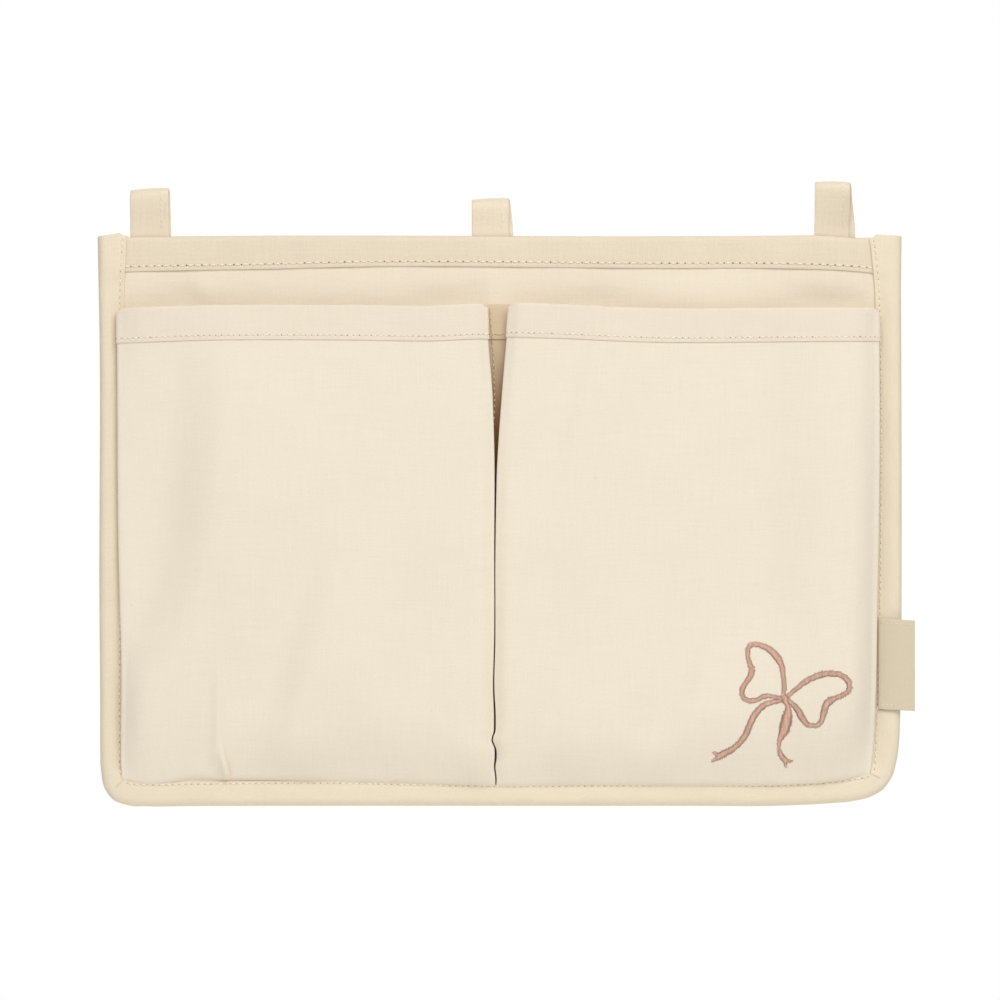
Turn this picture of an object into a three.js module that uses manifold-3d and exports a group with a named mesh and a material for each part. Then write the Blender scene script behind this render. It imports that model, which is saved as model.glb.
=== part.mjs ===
// Bedside caddy: a padded canvas panel with two pleated pockets, hung by three tape loops.
// Millimetres, +Z up. The front faces -Y. The origin lies on the underside of the centre loop's
// crown, on the panel's middle planes.
import * as THREE from 'three';
import { mergeVertices } from 'three/addons/utils/BufferGeometryUtils.js';
import Module from 'manifold-3d';

const wasm = await Module();
wasm.setup();

// Panel
const PANEL_WIDTH = 420;
const PANEL_HEIGHT = 298;
const CORNER_RADIUS = 20;
const CANVAS = 0.8;
const WADDING = 4;
// Gap between layers that are sewn together, and between other neighbours
const LAYER_GAP = 0.2;
const CLEAR = 0.3;

// Edge binding and top hem
const BINDING = 1.2;
const BINDING_SIDE_WIDTH = 14;
const BINDING_BOTTOM_WIDTH = 11.5;
const BINDING_STITCH_INSET = 1.8;
const BINDING_STITCH = 3.5;
const HEM_DEPTH = 18;
const HEM_STITCH_INSET = 2.8;
const HEM_STITCH = 4;

// Hanging loops, with their free heights above the top edge
const TAPE = 1.2;
const TAPE_WIDTH = 20;
const LOOP_GAP = 7.2;
const LEFT_LOOP_HEIGHT = 25;
const CENTRE_LOOP_HEIGHT = 20;
const RIGHT_LOOP_HEIGHT = 28.5;
const LEFT_LOOP_INSET = 26.7;
const RIGHT_LOOP_INSET = 36;
const CENTRE_LOOP_OFFSET = -4.7;
const LOOP_TAIL = 30;
// The tape bends on a line this far above the top edge
const BEND_RISE = 2.2;
// An odd count, so that the crown's inside is flat at the top
const CROWN_FACETS = 9;

// Pockets
const MOUTH_DROP = 37;
const POCKET_DEPTH = 10.5;
const POCKET_EDGE_DEPTH = 5.5;
const POCKET_SIDE_ROUND = 14;
const POCKET_BOTTOM_ROUND = 30;
const POCKET_OVERHANG = 4.6;
const POCKET_TUCK = 1.5;
const POCKET_HEM_DEPTH = 18;
const POCKET_STITCH_INSET = 2.4;
const POCKET_STITCH = 3.1;
const PLEAT_DEPTH = 18;
// Height at which the pleats and the centre strip come out from under the bottom seam
const PLEAT_START = 10;

// Centre seam between the pockets
const SEAM_OFFSET = -2;
const SEAM_SLIT = 0.8;
const LEFT_MOUTH_FLARE = 4;
const RIGHT_MOUTH_FLARE = 6;
const FLARE_HEIGHT = 90;
const STRIP_WIDTH = 14;
const STRIP_STITCH_INSET = 5;

// Label
const LABEL_TAPE = 0.5;
const LABEL_WIDTH = 17.9;
const LABEL_HEIGHT = 47.5;
const LABEL_ABOVE_BOTTOM = 50;
const LABEL_SEAM_INSET = 10.6;

// Embroidered bow, placed by its knot
const KNOT_FROM_SIDE = 61.5;
const KNOT_FROM_BOTTOM = 56.5;
const BOW_WIDTH = 69;
const KNOT_WIDTH = 7;
const KNOT_HEIGHT = 6;
const KNOT_THICKNESS = 1.2;
const BOW_STROKE = 3;
const BOW_THICKNESS = 0.7;
const TAIL_STROKE = 4.5;

// Sewing thread
const THREAD = 0.45;
const STITCH_RISE = 0.35;
const THREAD_GAP = 0.1;

// Levels and planes worked out from the sizes
const TOP = TAPE - CENTRE_LOOP_HEIGHT;
const BOTTOM = TOP - PANEL_HEIGHT;
const HALF = PANEL_WIDTH / 2;
const HALF_THICKNESS = WADDING / 2 + LAYER_GAP + CANVAS;
const FACE_FRONT = -HALF_THICKNESS;
const HEM_BEND = HALF_THICKNESS + LAYER_GAP + CANVAS / 2;
const BINDING_BEND = HALF_THICKNESS + LAYER_GAP + BINDING / 2;
const BINDING_FRONT = -(BINDING_BEND + BINDING / 2);
const LAYER_INSET = BINDING_BEND + BINDING / 2;
const LAYER_TOP = TOP - HEM_BEND - CANVAS / 2;
// Twice the clearance, because the pocket leans over the binding as it opens
const SEAM_Z = BOTTOM + BINDING_BOTTOM_WIDTH + 2 * CLEAR;
const MOUTH_Z = TOP - MOUTH_DROP;
const POCKET_HEIGHT = MOUTH_Z - SEAM_Z;
const BETWEEN_BINDINGS = HALF - BINDING_SIDE_WIDTH - CLEAR;

const { clamp, lerp, smoothstep } = THREE.MathUtils;

const cloth = { roughness: 0.9, metalness: 0 };
const CANVAS_CREAM = new THREE.MeshStandardMaterial({ color: 0xf0e5d1, ...cloth });
const BINDING_CREAM = new THREE.MeshStandardMaterial({ color: 0xeadcc4, ...cloth });
const TAPE_CREAM = new THREE.MeshStandardMaterial({ color: 0xe8d9c0, ...cloth });
const LABEL_CREAM = new THREE.MeshStandardMaterial({ color: 0xe1d4b9, ...cloth });
const THREAD_CREAM = new THREE.MeshStandardMaterial({ color: 0xf5ecda, ...cloth });
const WADDING_WHITE = new THREE.MeshStandardMaterial({ color: 0xf4f1ea, ...cloth });
const BOW_PINK = new THREE.MeshStandardMaterial({ color: 0xcda591, roughness: 0.6, metalness: 0 });

const caddy = new THREE.Group();

function addPiece(name, geometry, material) {
  const mesh = new THREE.Mesh(geometry, material);
  mesh.name = name;
  caddy.add(mesh);
  return mesh;
}

// Runs through the stops as share goes from 0 to 1, with counts[i] equal steps after stop i.
function stepped(share, stops, counts) {
  let step = share * counts.reduce((sum, count) => sum + count, 0);
  let zone = 0;
  while (zone < counts.length - 1 && step > counts[zone]) {
    step -= counts[zone];
    zone += 1;
  }
  return lerp(stops[zone], stops[zone + 1], step / counts[zone]);
}

function slopeOf(surface, u, v, stepU, stepV) {
  const after = surface(clamp(u + stepU, 0, 1), clamp(v + stepV, 0, 1));
  const before = surface(clamp(u - stepU, 0, 1), clamp(v - stepV, 0, 1));
  return after.sub(before);
}

function normalOf(surface, u, v) {
  const step = 1e-4;
  return slopeOf(surface, u, v, 0, step).cross(slopeOf(surface, u, v, step, 0)).normalize();
}

// A closed sheet of even thickness about a surface given for u and v from 0 to 1.
function sheet(surface, thickness, columns, rows) {
  const geometry = new THREE.BoxGeometry(1, 1, 1, columns, 1, rows);
  const position = geometry.attributes.position;
  for (let i = 0; i < position.count; i += 1) {
    const u = position.getX(i) + 0.5;
    const v = position.getZ(i) + 0.5;
    const normal = normalOf(surface, u, v);
    const point = surface(u, v).addScaledVector(normal, position.getY(i) * thickness);
    position.setXYZ(i, point.x, point.y, point.z);
  }
  return geometry;
}

// A row of stitches as one unbroken thread. It rises in the middle of each stitch and comes down
// to the cloth between stitches. The place function gives a point on the cloth and the way out of it.
function stitchRow(place, length, pitch) {
  const stitches = Math.round(length / pitch);
  const geometry = new THREE.CylinderGeometry(THREAD, THREAD, 1, 3, 2 * stitches);
  const position = geometry.attributes.position;
  const line = (share) => place(clamp(share, 0, 1)).point;
  const step = 1e-4;
  for (let i = 0; i < position.count; i += 1) {
    const share = position.getY(i) + 0.5;
    const { point, out } = place(share);
    const along = line(share + step).sub(line(share - step)).normalize();
    const across = along.clone().cross(out);
    const raised = Math.round(share * 2 * stitches) % 2 === 1 ? STITCH_RISE : 0;
    const lift = THREAD / 2 + THREAD_GAP + raised;
    point.addScaledVector(out, lift + position.getZ(i)).addScaledVector(across, position.getX(i));
    position.setXYZ(i, point.x, point.y, point.z);
  }
  return geometry;
}

function toSolid(geometry) {
  const bare = geometry.clone();
  bare.deleteAttribute('normal');
  bare.deleteAttribute('uv');
  const merged = mergeVertices(bare, 1e-4);
  return new wasm.Manifold(new wasm.Mesh({
    numProp: 3,
    vertProperties: new Float32Array(merged.attributes.position.array),
    triVerts: new Uint32Array(merged.index.array),
  }));
}

function fromSolid(solid) {
  const mesh = solid.getMesh();
  const geometry = new THREE.BufferGeometry();
  geometry.setAttribute('position', new THREE.BufferAttribute(mesh.vertProperties, 3));
  geometry.setIndex(new THREE.BufferAttribute(mesh.triVerts, 1));
  geometry.computeVertexNormals();
  return geometry;
}

// Panel layers: flat, round at the bottom corners and open at the top for the loop tails
const LOOPS = [
  { name: 'left_loop', x: -HALF + LEFT_LOOP_INSET, height: LEFT_LOOP_HEIGHT },
  { name: 'centre_loop', x: CENTRE_LOOP_OFFSET, height: CENTRE_LOOP_HEIGHT },
  { name: 'right_loop', x: HALF - RIGHT_LOOP_INSET, height: RIGHT_LOOP_HEIGHT },
];
const TAIL_SLOT = TAPE_WIDTH / 2 + CLEAR;
const TAIL_END = TOP - LOOP_TAIL;

function layerShape(notched) {
  const side = HALF - LAYER_INSET;
  const bottom = BOTTOM + LAYER_INSET;
  const radius = CORNER_RADIUS - LAYER_INSET;
  const shape = new THREE.Shape();
  shape.moveTo(-side, LAYER_TOP);
  shape.lineTo(-side, bottom + radius);
  shape.absarc(-side + radius, bottom + radius, radius, Math.PI, 1.5 * Math.PI, false);
  shape.lineTo(side - radius, bottom);
  shape.absarc(side - radius, bottom + radius, radius, 1.5 * Math.PI, 2 * Math.PI, false);
  shape.lineTo(side, LAYER_TOP);
  if (notched) {
    for (const { x } of LOOPS.toReversed()) {
      shape.lineTo(x + TAIL_SLOT, LAYER_TOP);
      shape.lineTo(x + TAIL_SLOT, TAIL_END - CLEAR);
      shape.lineTo(x - TAIL_SLOT, TAIL_END - CLEAR);
      shape.lineTo(x - TAIL_SLOT, LAYER_TOP);
    }
  }
  return shape;
}

function addLayer(name, rear, thickness, notched, material) {
  const options = { depth: thickness, bevelEnabled: false, curveSegments: 8 };
  const geometry = new THREE.ExtrudeGeometry(layerShape(notched), options);
  geometry.rotateX(Math.PI / 2);
  addPiece(name, geometry, material).position.y = rear;
}

addLayer('back_lining', HALF_THICKNESS, CANVAS, false, CANVAS_CREAM);
addLayer('wadding', WADDING / 2, WADDING, true, WADDING_WHITE);
addLayer('face_panel', FACE_FRONT + CANVAS, CANVAS, false, CANVAS_CREAM);

// Edge binding: one strip folded over the left, bottom and right edges
function bindingOutline() {
  const side = HALF - BINDING / 2;
  const bottom = BOTTOM + BINDING / 2;
  const radius = CORNER_RADIUS - BINDING / 2;
  const path = new THREE.Path();
  path.moveTo(-side, TOP);
  path.lineTo(-side, bottom + radius);
  path.absarc(-side + radius, bottom + radius, radius, Math.PI, 1.5 * Math.PI, false);
  path.lineTo(side - radius, bottom);
  path.absarc(side - radius, bottom + radius, radius, 1.5 * Math.PI, 2 * Math.PI, false);
  path.lineTo(side, TOP);
  return path;
}

const outline = bindingOutline();
const outlineLengths = outline.getCurveLengths();
const outlineLength = outline.getLength();
const outlineStops = [0, ...outlineLengths.map((length) => length / outlineLength)];

// A point on the outline, the way outward in the panel's plane, and the flange's depth there,
// which leaves the flange's inner corners square
function outlineAt(share) {
  const point = outline.getPointAt(share);
  const tangent = outline.getTangentAt(share);
  const out = new THREE.Vector2(tangent.y, -tangent.x);
  const toSide = (CORNER_RADIUS - BINDING_SIDE_WIDTH) / Math.abs(out.x);
  const toBottom = (CORNER_RADIUS - BINDING_BOTTOM_WIDTH) / Math.abs(out.y);
  const flange = CORNER_RADIUS - BINDING / 2 - Math.min(toSide, toBottom);
  return { point, out, flange };
}

function bindingPoint(share, inset, y) {
  const { point, out } = outlineAt(share);
  const inner = point.addScaledVector(out, -inset);
  return new THREE.Vector3(inner.x, y, inner.y);
}

function bindingSurface(u, v) {
  const share = stepped(u, outlineStops, [1, 8, 1, 8, 1]);
  const { flange } = outlineAt(share);
  const way = stepped(v, [-1, 0, 1, 2], [1, 6, 1]);
  if (way < 0) {
    return bindingPoint(share, lerp(BINDING_BEND, flange, -way), -BINDING_BEND);
  }
  if (way > 1) {
    return bindingPoint(share, lerp(BINDING_BEND, flange, way - 1), BINDING_BEND);
  }
  const angle = Math.PI * way;
  const inset = BINDING_BEND * (1 - Math.sin(angle));
  return bindingPoint(share, inset, -BINDING_BEND * Math.cos(angle));
}

function bindingStitch(share) {
  const inset = outlineAt(share).flange - BINDING_STITCH_INSET;
  return { point: bindingPoint(share, inset, BINDING_FRONT), out: new THREE.Vector3(0, -1, 0) };
}

addPiece('edge_binding', sheet(bindingSurface, BINDING, 19, 8), BINDING_CREAM);
addPiece('binding_thread', stitchRow(bindingStitch, outlineLength, BINDING_STITCH), THREAD_CREAM);

// Top hem: a band folded over the top edge, slit for the loop tails
function hemSurface(u, v) {
  const x = lerp(-BETWEEN_BINDINGS, BETWEEN_BINDINGS, u);
  const centre = TOP - CANVAS / 2 - HEM_BEND;
  const way = stepped(v, [-1, 0, 1, 2], [1, 6, 1]);
  if (way < 0) {
    return new THREE.Vector3(x, -HEM_BEND, lerp(centre, TOP - HEM_DEPTH, -way));
  }
  if (way > 1) {
    return new THREE.Vector3(x, HEM_BEND, lerp(centre, TOP - HEM_DEPTH, way - 1));
  }
  const angle = Math.PI * way;
  return new THREE.Vector3(x, -HEM_BEND * Math.cos(angle), centre + HEM_BEND * Math.sin(angle));
}

function hemStitch(share) {
  const x = lerp(-BETWEEN_BINDINGS, BETWEEN_BINDINGS, share);
  const y = -HEM_BEND - CANVAS / 2;
  const point = new THREE.Vector3(x, y, TOP - HEM_DEPTH + HEM_STITCH_INSET);
  return { point, out: new THREE.Vector3(0, -1, 0) };
}

function slitHem() {
  let hem = toSolid(sheet(hemSurface, CANVAS, 1, 8));
  for (const { x } of LOOPS) {
    const slit = new THREE.BoxGeometry(2 * TAIL_SLOT, 2 * (TAPE + CLEAR), 2 * HEM_BEND);
    slit.translate(x, 0, TOP);
    hem = hem.subtract(toSolid(slit));
  }
  return fromSolid(hem);
}

addPiece('top_hem', slitHem(), BINDING_CREAM);
addPiece('top_hem_thread', stitchRow(hemStitch, 2 * BETWEEN_BINDINGS, HEM_STITCH), THREAD_CREAM);

// Loops and their sewn-in tails: both come to an edge on the line where the tape bends
const acrossPanel = new THREE.Matrix4().makeBasis(
  new THREE.Vector3(0, 1, 0),
  new THREE.Vector3(0, 0, 1),
  new THREE.Vector3(1, 0, 0),
);

function tapePiece(shape) {
  const options = { depth: TAPE_WIDTH, bevelEnabled: false };
  const geometry = new THREE.ExtrudeGeometry(shape, options);
  geometry.translate(0, 0, -TAPE_WIDTH / 2);
  return geometry.applyMatrix4(acrossPanel);
}

// Carries the path over the crown, from the rear to the front
function overCrown(path, crown, radius) {
  for (let i = 0; i <= CROWN_FACETS; i += 1) {
    const angle = (Math.PI * i) / CROWN_FACETS;
    path.lineTo(radius * Math.cos(angle), crown + radius * Math.sin(angle));
  }
}

function loopShape(height) {
  const crown = height - BEND_RISE - LOOP_GAP / 2 - TAPE;
  const edge = CLEAR / 2;
  const facet = 1 / Math.cos(Math.PI / (2 * CROWN_FACETS));
  const outer = (LOOP_GAP / 2 + TAPE) * facet;
  const inner = (LOOP_GAP / 2) * facet;
  const shape = new THREE.Shape();
  shape.moveTo(0, edge);
  shape.lineTo(TAPE, edge + TAPE);
  overCrown(shape, crown, outer);
  shape.lineTo(-TAPE, edge + TAPE);
  const hole = new THREE.Path();
  hole.moveTo(0, edge + 2 * TAPE);
  overCrown(hole, crown, inner);
  shape.holes.push(hole);
  return shape;
}

function tailShape() {
  const end = -LOOP_TAIL - BEND_RISE;
  const edge = -CLEAR / 2;
  const shape = new THREE.Shape();
  shape.moveTo(-TAPE, end);
  shape.lineTo(TAPE, end);
  shape.lineTo(TAPE, edge - TAPE);
  shape.lineTo(0, edge);
  shape.lineTo(-TAPE, edge - TAPE);
  return shape;
}

for (const { name, x, height } of LOOPS) {
  addPiece(name, tapePiece(loopShape(height)), TAPE_CREAM).position.set(x, 0, TOP + BEND_RISE);
  addPiece(`${name}_tail`, tapePiece(tailShape()), TAPE_CREAM).position.set(x, 0, TOP + BEND_RISE);
}

// Strip of pocket cloth that is sewn down between the pockets, the floor of their box pleat
const SEAM_X = SEAM_OFFSET;
const STRIP_FRONT = FACE_FRONT - CLEAR - CANVAS;
const STRIP_STITCH_X = SEAM_X - STRIP_WIDTH / 2 + STRIP_STITCH_INSET;
const STRIP_BOTTOM = SEAM_Z + PLEAT_START;
const STRIP_HEIGHT = MOUTH_Z - STRIP_BOTTOM;

function seamStitch(share) {
  const point = new THREE.Vector3(STRIP_STITCH_X, STRIP_FRONT, lerp(STRIP_BOTTOM, MOUTH_Z, share));
  return { point, out: new THREE.Vector3(0, -1, 0) };
}

const strip = addPiece(
  'pocket_centre_strip',
  new THREE.BoxGeometry(STRIP_WIDTH, CANVAS, STRIP_HEIGHT),
  CANVAS_CREAM,
);
strip.position.set(SEAM_X, STRIP_FRONT + CANVAS / 2, (STRIP_BOTTOM + MOUTH_Z) / 2);
addPiece('centre_seam_thread', stitchRow(seamStitch, STRIP_HEIGHT, POCKET_STITCH), THREAD_CREAM);

// Pockets: side is -1 on the left and 1 on the right, and h is the height above the bottom seam
const COLUMNS = [5, 6, 5];
const ROWS = [6, 8, 2];

class Pocket {
  constructor(name, side, flare) {
    this.name = name;
    this.side = side;
    this.flare = flare;
  }

  outerEdge(h) {
    const spread = 1 - (1 - h / POCKET_HEIGHT) ** 2;
    return this.side * (BETWEEN_BINDINGS + lerp(-POCKET_TUCK, POCKET_OVERHANG, spread));
  }

  innerEdge(h) {
    const opening = smoothstep(h, POCKET_HEIGHT - FLARE_HEIGHT, POCKET_HEIGHT);
    return SEAM_X + this.side * (SEAM_SLIT / 2 + this.flare * opening);
  }

  // How far the middle of the cloth stands off the face panel
  stand(x, h) {
    const inside = Math.min(Math.abs(this.outerEdge(h) - x), Math.abs(x - this.innerEdge(h)));
    const side = Math.sin((Math.PI / 2) * Math.min(inside / POCKET_SIDE_ROUND, 1));
    const rise = Math.sin((Math.PI / 2) * Math.min(h / POCKET_BOTTOM_ROUND, 1));
    const depth = lerp(POCKET_EDGE_DEPTH, POCKET_DEPTH, side);
    return CLEAR + CANVAS / 2 + depth * rise;
  }

  pointAt(x, h) {
    return new THREE.Vector3(x, FACE_FRONT - this.stand(x, h), SEAM_Z + h);
  }

  across(u, h) {
    const [left, right] = [this.outerEdge(h), this.innerEdge(h)].sort((a, b) => a - b);
    const stops = [left, left + POCKET_SIDE_ROUND, right - POCKET_SIDE_ROUND, right];
    return stepped(u, stops, COLUMNS);
  }

  front(u, v) {
    const stops = [0, POCKET_BOTTOM_ROUND, POCKET_HEIGHT - POCKET_HEM_DEPTH, POCKET_HEIGHT];
    const h = stepped(v, stops, ROWS);
    return this.pointAt(this.across(u, h), h);
  }

  // The same cloth in the hem's band, moved out by a distance
  band(u, v, distance) {
    const base = (a, b) => {
      const h = lerp(POCKET_HEIGHT - POCKET_HEM_DEPTH, POCKET_HEIGHT, b);
      return this.pointAt(this.across(a, h), h);
    };
    return base(u, v).addScaledVector(normalOf(base, u, v), -distance);
  }

  hem(u, v) {
    return this.band(u, v, CANVAS + LAYER_GAP);
  }

  hemStitch(share) {
    const v = POCKET_STITCH_INSET / POCKET_HEM_DEPTH;
    const out = normalOf((a, b) => this.band(a, b, 0), share, v).negate();
    return { point: this.band(share, v, 1.5 * CANVAS + LAYER_GAP), out };
  }

  // A side fold: one layer on the face panel, a bend inside the pocket and a layer behind the front
  pleat(u, v, sewn, edge) {
    const h = stepped(v, [PLEAT_START, POCKET_BOTTOM_ROUND, POCKET_HEIGHT], [2, 6]);
    const inward = Math.sign((this.outerEdge(0) + this.innerEdge(0)) / 2 - sewn);
    const fold = sewn + inward * PLEAT_DEPTH;
    const low = CLEAR + CANVAS / 2;
    const high = this.stand(edge(h), h) - CANVAS - CLEAR;
    const way = stepped(u, [-1, 0, 1, 2], [1, 6, 1]);
    const point = (x, stand) => new THREE.Vector3(x, FACE_FRONT - stand, SEAM_Z + h);
    if (way < 0) {
      return point(lerp(fold, sewn, -way), low);
    }
    if (way > 1) {
      return point(lerp(fold, edge(h), way - 1), high);
    }
    const angle = Math.PI * way;
    const bend = (high - low) / 2;
    return point(fold + inward * bend * Math.sin(angle), (low + high) / 2 - bend * Math.cos(angle));
  }

  build() {
    const columns = COLUMNS.reduce((sum, count) => sum + count);
    const rows = ROWS.reduce((sum, count) => sum + count);
    const hemThread = stitchRow((t) => this.hemStitch(t), this.mouthWidth(), POCKET_STITCH);
    const front = sheet((u, v) => this.front(u, v), CANVAS, columns, rows);
    addPiece(`${this.name}_front`, front, CANVAS_CREAM);
    addPiece(`${this.name}_hem`, sheet((u, v) => this.hem(u, v), CANVAS, columns, 2), CANVAS_CREAM);
    addPiece(`${this.name}_hem_thread`, hemThread, THREAD_CREAM);
    this.buildPleat('outer_pleat', this.side * BETWEEN_BINDINGS, (h) => this.outerEdge(h));
    const besideStrip = SEAM_X + this.side * (STRIP_WIDTH / 2 + CLEAR);
    this.buildPleat('inner_pleat', besideStrip, (h) => this.innerEdge(h));
  }

  buildPleat(pleat, sewn, edge) {
    const geometry = sheet((u, v) => this.pleat(u, v, sewn, edge), CANVAS, 8, 8);
    addPiece(`${this.name}_${pleat}`, geometry, CANVAS_CREAM);
  }

  mouthWidth() {
    return Math.abs(this.outerEdge(POCKET_HEIGHT) - this.innerEdge(POCKET_HEIGHT));
  }
}

const leftPocket = new Pocket('left_pocket', -1, LEFT_MOUTH_FLARE);
const rightPocket = new Pocket('right_pocket', 1, RIGHT_MOUTH_FLARE);
leftPocket.build();
rightPocket.build();

// Label: a tape folded in two, with its ends sewn to the binding and its fold outward
const LABEL_SEAM_X = HALF - LABEL_SEAM_INSET;
const LABEL_BEND = (LABEL_TAPE + LAYER_GAP) / 2;
const LABEL_Y = BINDING_FRONT - CLEAR - LABEL_TAPE / 2 - LABEL_BEND;

function labelSurface(u, v) {
  const z = BOTTOM + LABEL_ABOVE_BOTTOM + v * LABEL_HEIGHT;
  const fold = LABEL_SEAM_X + LABEL_WIDTH - LABEL_BEND - LABEL_TAPE / 2;
  const way = stepped(u, [-1, 0, 1, 2], [1, 4, 1]);
  if (way < 0) {
    return new THREE.Vector3(lerp(fold, LABEL_SEAM_X, -way), LABEL_Y - LABEL_BEND, z);
  }
  if (way > 1) {
    return new THREE.Vector3(lerp(fold, LABEL_SEAM_X, way - 1), LABEL_Y + LABEL_BEND, z);
  }
  const angle = Math.PI * way;
  return new THREE.Vector3(fold + LABEL_BEND * Math.sin(angle), LABEL_Y - LABEL_BEND * Math.cos(angle), z);
}

addPiece('side_label', sheet(labelSurface, LABEL_TAPE, 6, 1), LABEL_CREAM);

// Embroidered bow: ribbons drawn from the knot, right and up, lying on the right pocket
const KNOT_X = HALF - KNOT_FROM_SIDE;
const KNOT_H = BOTTOM + KNOT_FROM_BOTTOM - SEAM_Z;
const RIBBONS = [
  { width: BOW_STROKE, steps: 14, points: [[0, 1], [-1, 13], [-5, 22], [-11, 27.5], [-16, 28], [-18.5, 24],
    [-17.5, 19], [-16, 15.5], [-17, 12.5]] },
  { width: BOW_STROKE, steps: 12, points: [[-16, 16.5], [-17, 12], [-21, 7], [-22, 2.5], [-19, -0.5],
    [-13, -0.5], [-7, 1], [0, 0.5]] },
  { width: BOW_STROKE, steps: 14, points: [[0, 0], [7, 6], [14, 11], [21, 13], [28, 13], [33, 10], [33, 6],
    [29, 2], [24, -1], [22, -3]] },
  { width: BOW_STROKE, steps: 10, points: [[25, -0.5], [21.5, -4], [20.5, -9.5], [17, -13.5], [12, -13],
    [8.5, -9.5], [5, -4.5], [0, 0]] },
  { width: TAIL_STROKE, steps: 10, points: [[0, 0], [-8, -2], [-14, -7], [-18, -15], [-23.5, -23],
    [-29.5, -28], [-36, -31]] },
  { width: TAIL_STROKE, steps: 10, points: [[0, 0], [2, -8], [0, -16], [-2, -21.5], [-1.5, -27],
    [1, -32.5]] },
];

const drawnAcross = RIBBONS.flatMap(({ points }) => points.map(([x]) => x));
const BOW_SCALE = BOW_WIDTH / (Math.max(...drawnAcross) - Math.min(...drawnAcross));

function ribbon({ width, steps, points }, layer) {
  const drawn = points.map(([x, z]) => new THREE.Vector3(x, 0, z).multiplyScalar(BOW_SCALE));
  const curve = new THREE.CatmullRomCurve3(drawn);
  const lift = CANVAS / 2 + CLEAR + BOW_THICKNESS / 2 + layer * THREAD_GAP / 2;
  const surface = (u, v) => {
    const middle = curve.getPointAt(u);
    const along = curve.getTangentAt(u);
    const x = KNOT_X + middle.x + along.z * (v - 0.5) * width;
    const h = KNOT_H + middle.z - along.x * (v - 0.5) * width;
    const point = rightPocket.pointAt(x, h);
    point.y -= lift;
    return point;
  };
  return toSolid(sheet(surface, BOW_THICKNESS, steps, 1));
}

function bow() {
  const knot = new THREE.SphereGeometry(0.5, 10, 6);
  knot.scale(KNOT_WIDTH, KNOT_THICKNESS, KNOT_HEIGHT);
  const seat = rightPocket.pointAt(KNOT_X, KNOT_H);
  knot.translate(seat.x, seat.y - CANVAS / 2 - CLEAR - KNOT_THICKNESS / 2, seat.z);
  let solid = toSolid(knot);
  RIBBONS.forEach((line, layer) => {
    solid = solid.add(ribbon(line, layer));
  });
  return fromSolid(solid);
}

addPiece('bow_embroidery', bow(), BOW_PINK);

export default caddy;
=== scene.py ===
# %% [markdown]
# # Sewing a canvas bedside caddy
# The real caddy is all cloth: a padded panel with a bound edge, two pleated pockets, three tape loops, a
# folded label and a small embroidered bow. Each piece could be a flat plane with a texture. Here each is a
# mesh that is folded as the cloth is folded, because the light on folds and stitches is what makes it look
# sewn.

import bmesh
import bpy
import numpy as np
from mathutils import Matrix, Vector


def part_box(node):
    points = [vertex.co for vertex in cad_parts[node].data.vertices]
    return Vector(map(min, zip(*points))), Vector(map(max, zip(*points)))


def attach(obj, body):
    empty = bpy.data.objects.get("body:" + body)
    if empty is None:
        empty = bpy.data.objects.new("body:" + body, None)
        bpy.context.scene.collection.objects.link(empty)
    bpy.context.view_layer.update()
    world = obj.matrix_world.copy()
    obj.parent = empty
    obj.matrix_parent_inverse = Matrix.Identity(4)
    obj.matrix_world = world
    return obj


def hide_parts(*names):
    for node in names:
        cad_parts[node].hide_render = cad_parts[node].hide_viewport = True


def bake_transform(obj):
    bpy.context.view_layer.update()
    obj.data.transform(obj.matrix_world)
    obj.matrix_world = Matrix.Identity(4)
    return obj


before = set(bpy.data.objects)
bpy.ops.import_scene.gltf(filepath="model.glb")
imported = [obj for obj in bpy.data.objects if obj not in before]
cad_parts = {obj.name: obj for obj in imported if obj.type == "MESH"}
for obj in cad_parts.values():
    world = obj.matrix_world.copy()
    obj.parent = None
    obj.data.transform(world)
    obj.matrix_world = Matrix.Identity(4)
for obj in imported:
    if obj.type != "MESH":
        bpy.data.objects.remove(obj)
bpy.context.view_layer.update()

# %% [markdown]
# ## Sizes
# A sewing pattern has its sizes in millimetres, so this lesson does too, and a mesh is turned into metres
# when it is made. The front of the caddy faces -Y, so "out" of the cloth is mostly -Y. The top and bottom
# edges are read from the solids, and the seam and the mouth of the pockets repeat the sizes of the solid
# model.

# %% Sizes that several pieces share
MM = 0.001
LEFT, RIGHT = -1, 1
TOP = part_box("top_hem")[1].z / MM
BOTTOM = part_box("edge_binding")[0].z / MM
SEAM = -304.7  # height of the pockets' bottom seam
MOUTH = -55.8  # height of their mouths
POCKET_HEIGHT = MOUTH - SEAM
FACE = 3.0  # from the middle of the panel to its face
print(f"top {TOP:.1f}, bottom {BOTTOM:.1f}, pocket height {POCKET_HEIGHT:.1f} mm")

# %% [markdown]
# ## Camera
# The caddy is seen straight from the front through a long lens, so nothing of its sides shows. An
# orthographic camera would be close, but it has no perspective at all. A camera four metres away gives the
# photograph's view. Its lens is chosen so that 523.7 mm of the caddy's plane fill the picture.

# %% The camera
VIEW_WIDTH = 523.7
VIEW_CENTRE_X, VIEW_CENTRE_Z = 0.3, -157.1
CAMERA_DISTANCE = 4000.0
FILM_WIDTH = 36.0
FAR_LIMIT = 50.0

scene = bpy.context.scene


def add_object(name, data):
    thing = bpy.data.objects.new(name, data)
    scene.collection.objects.link(thing)
    return thing


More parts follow.
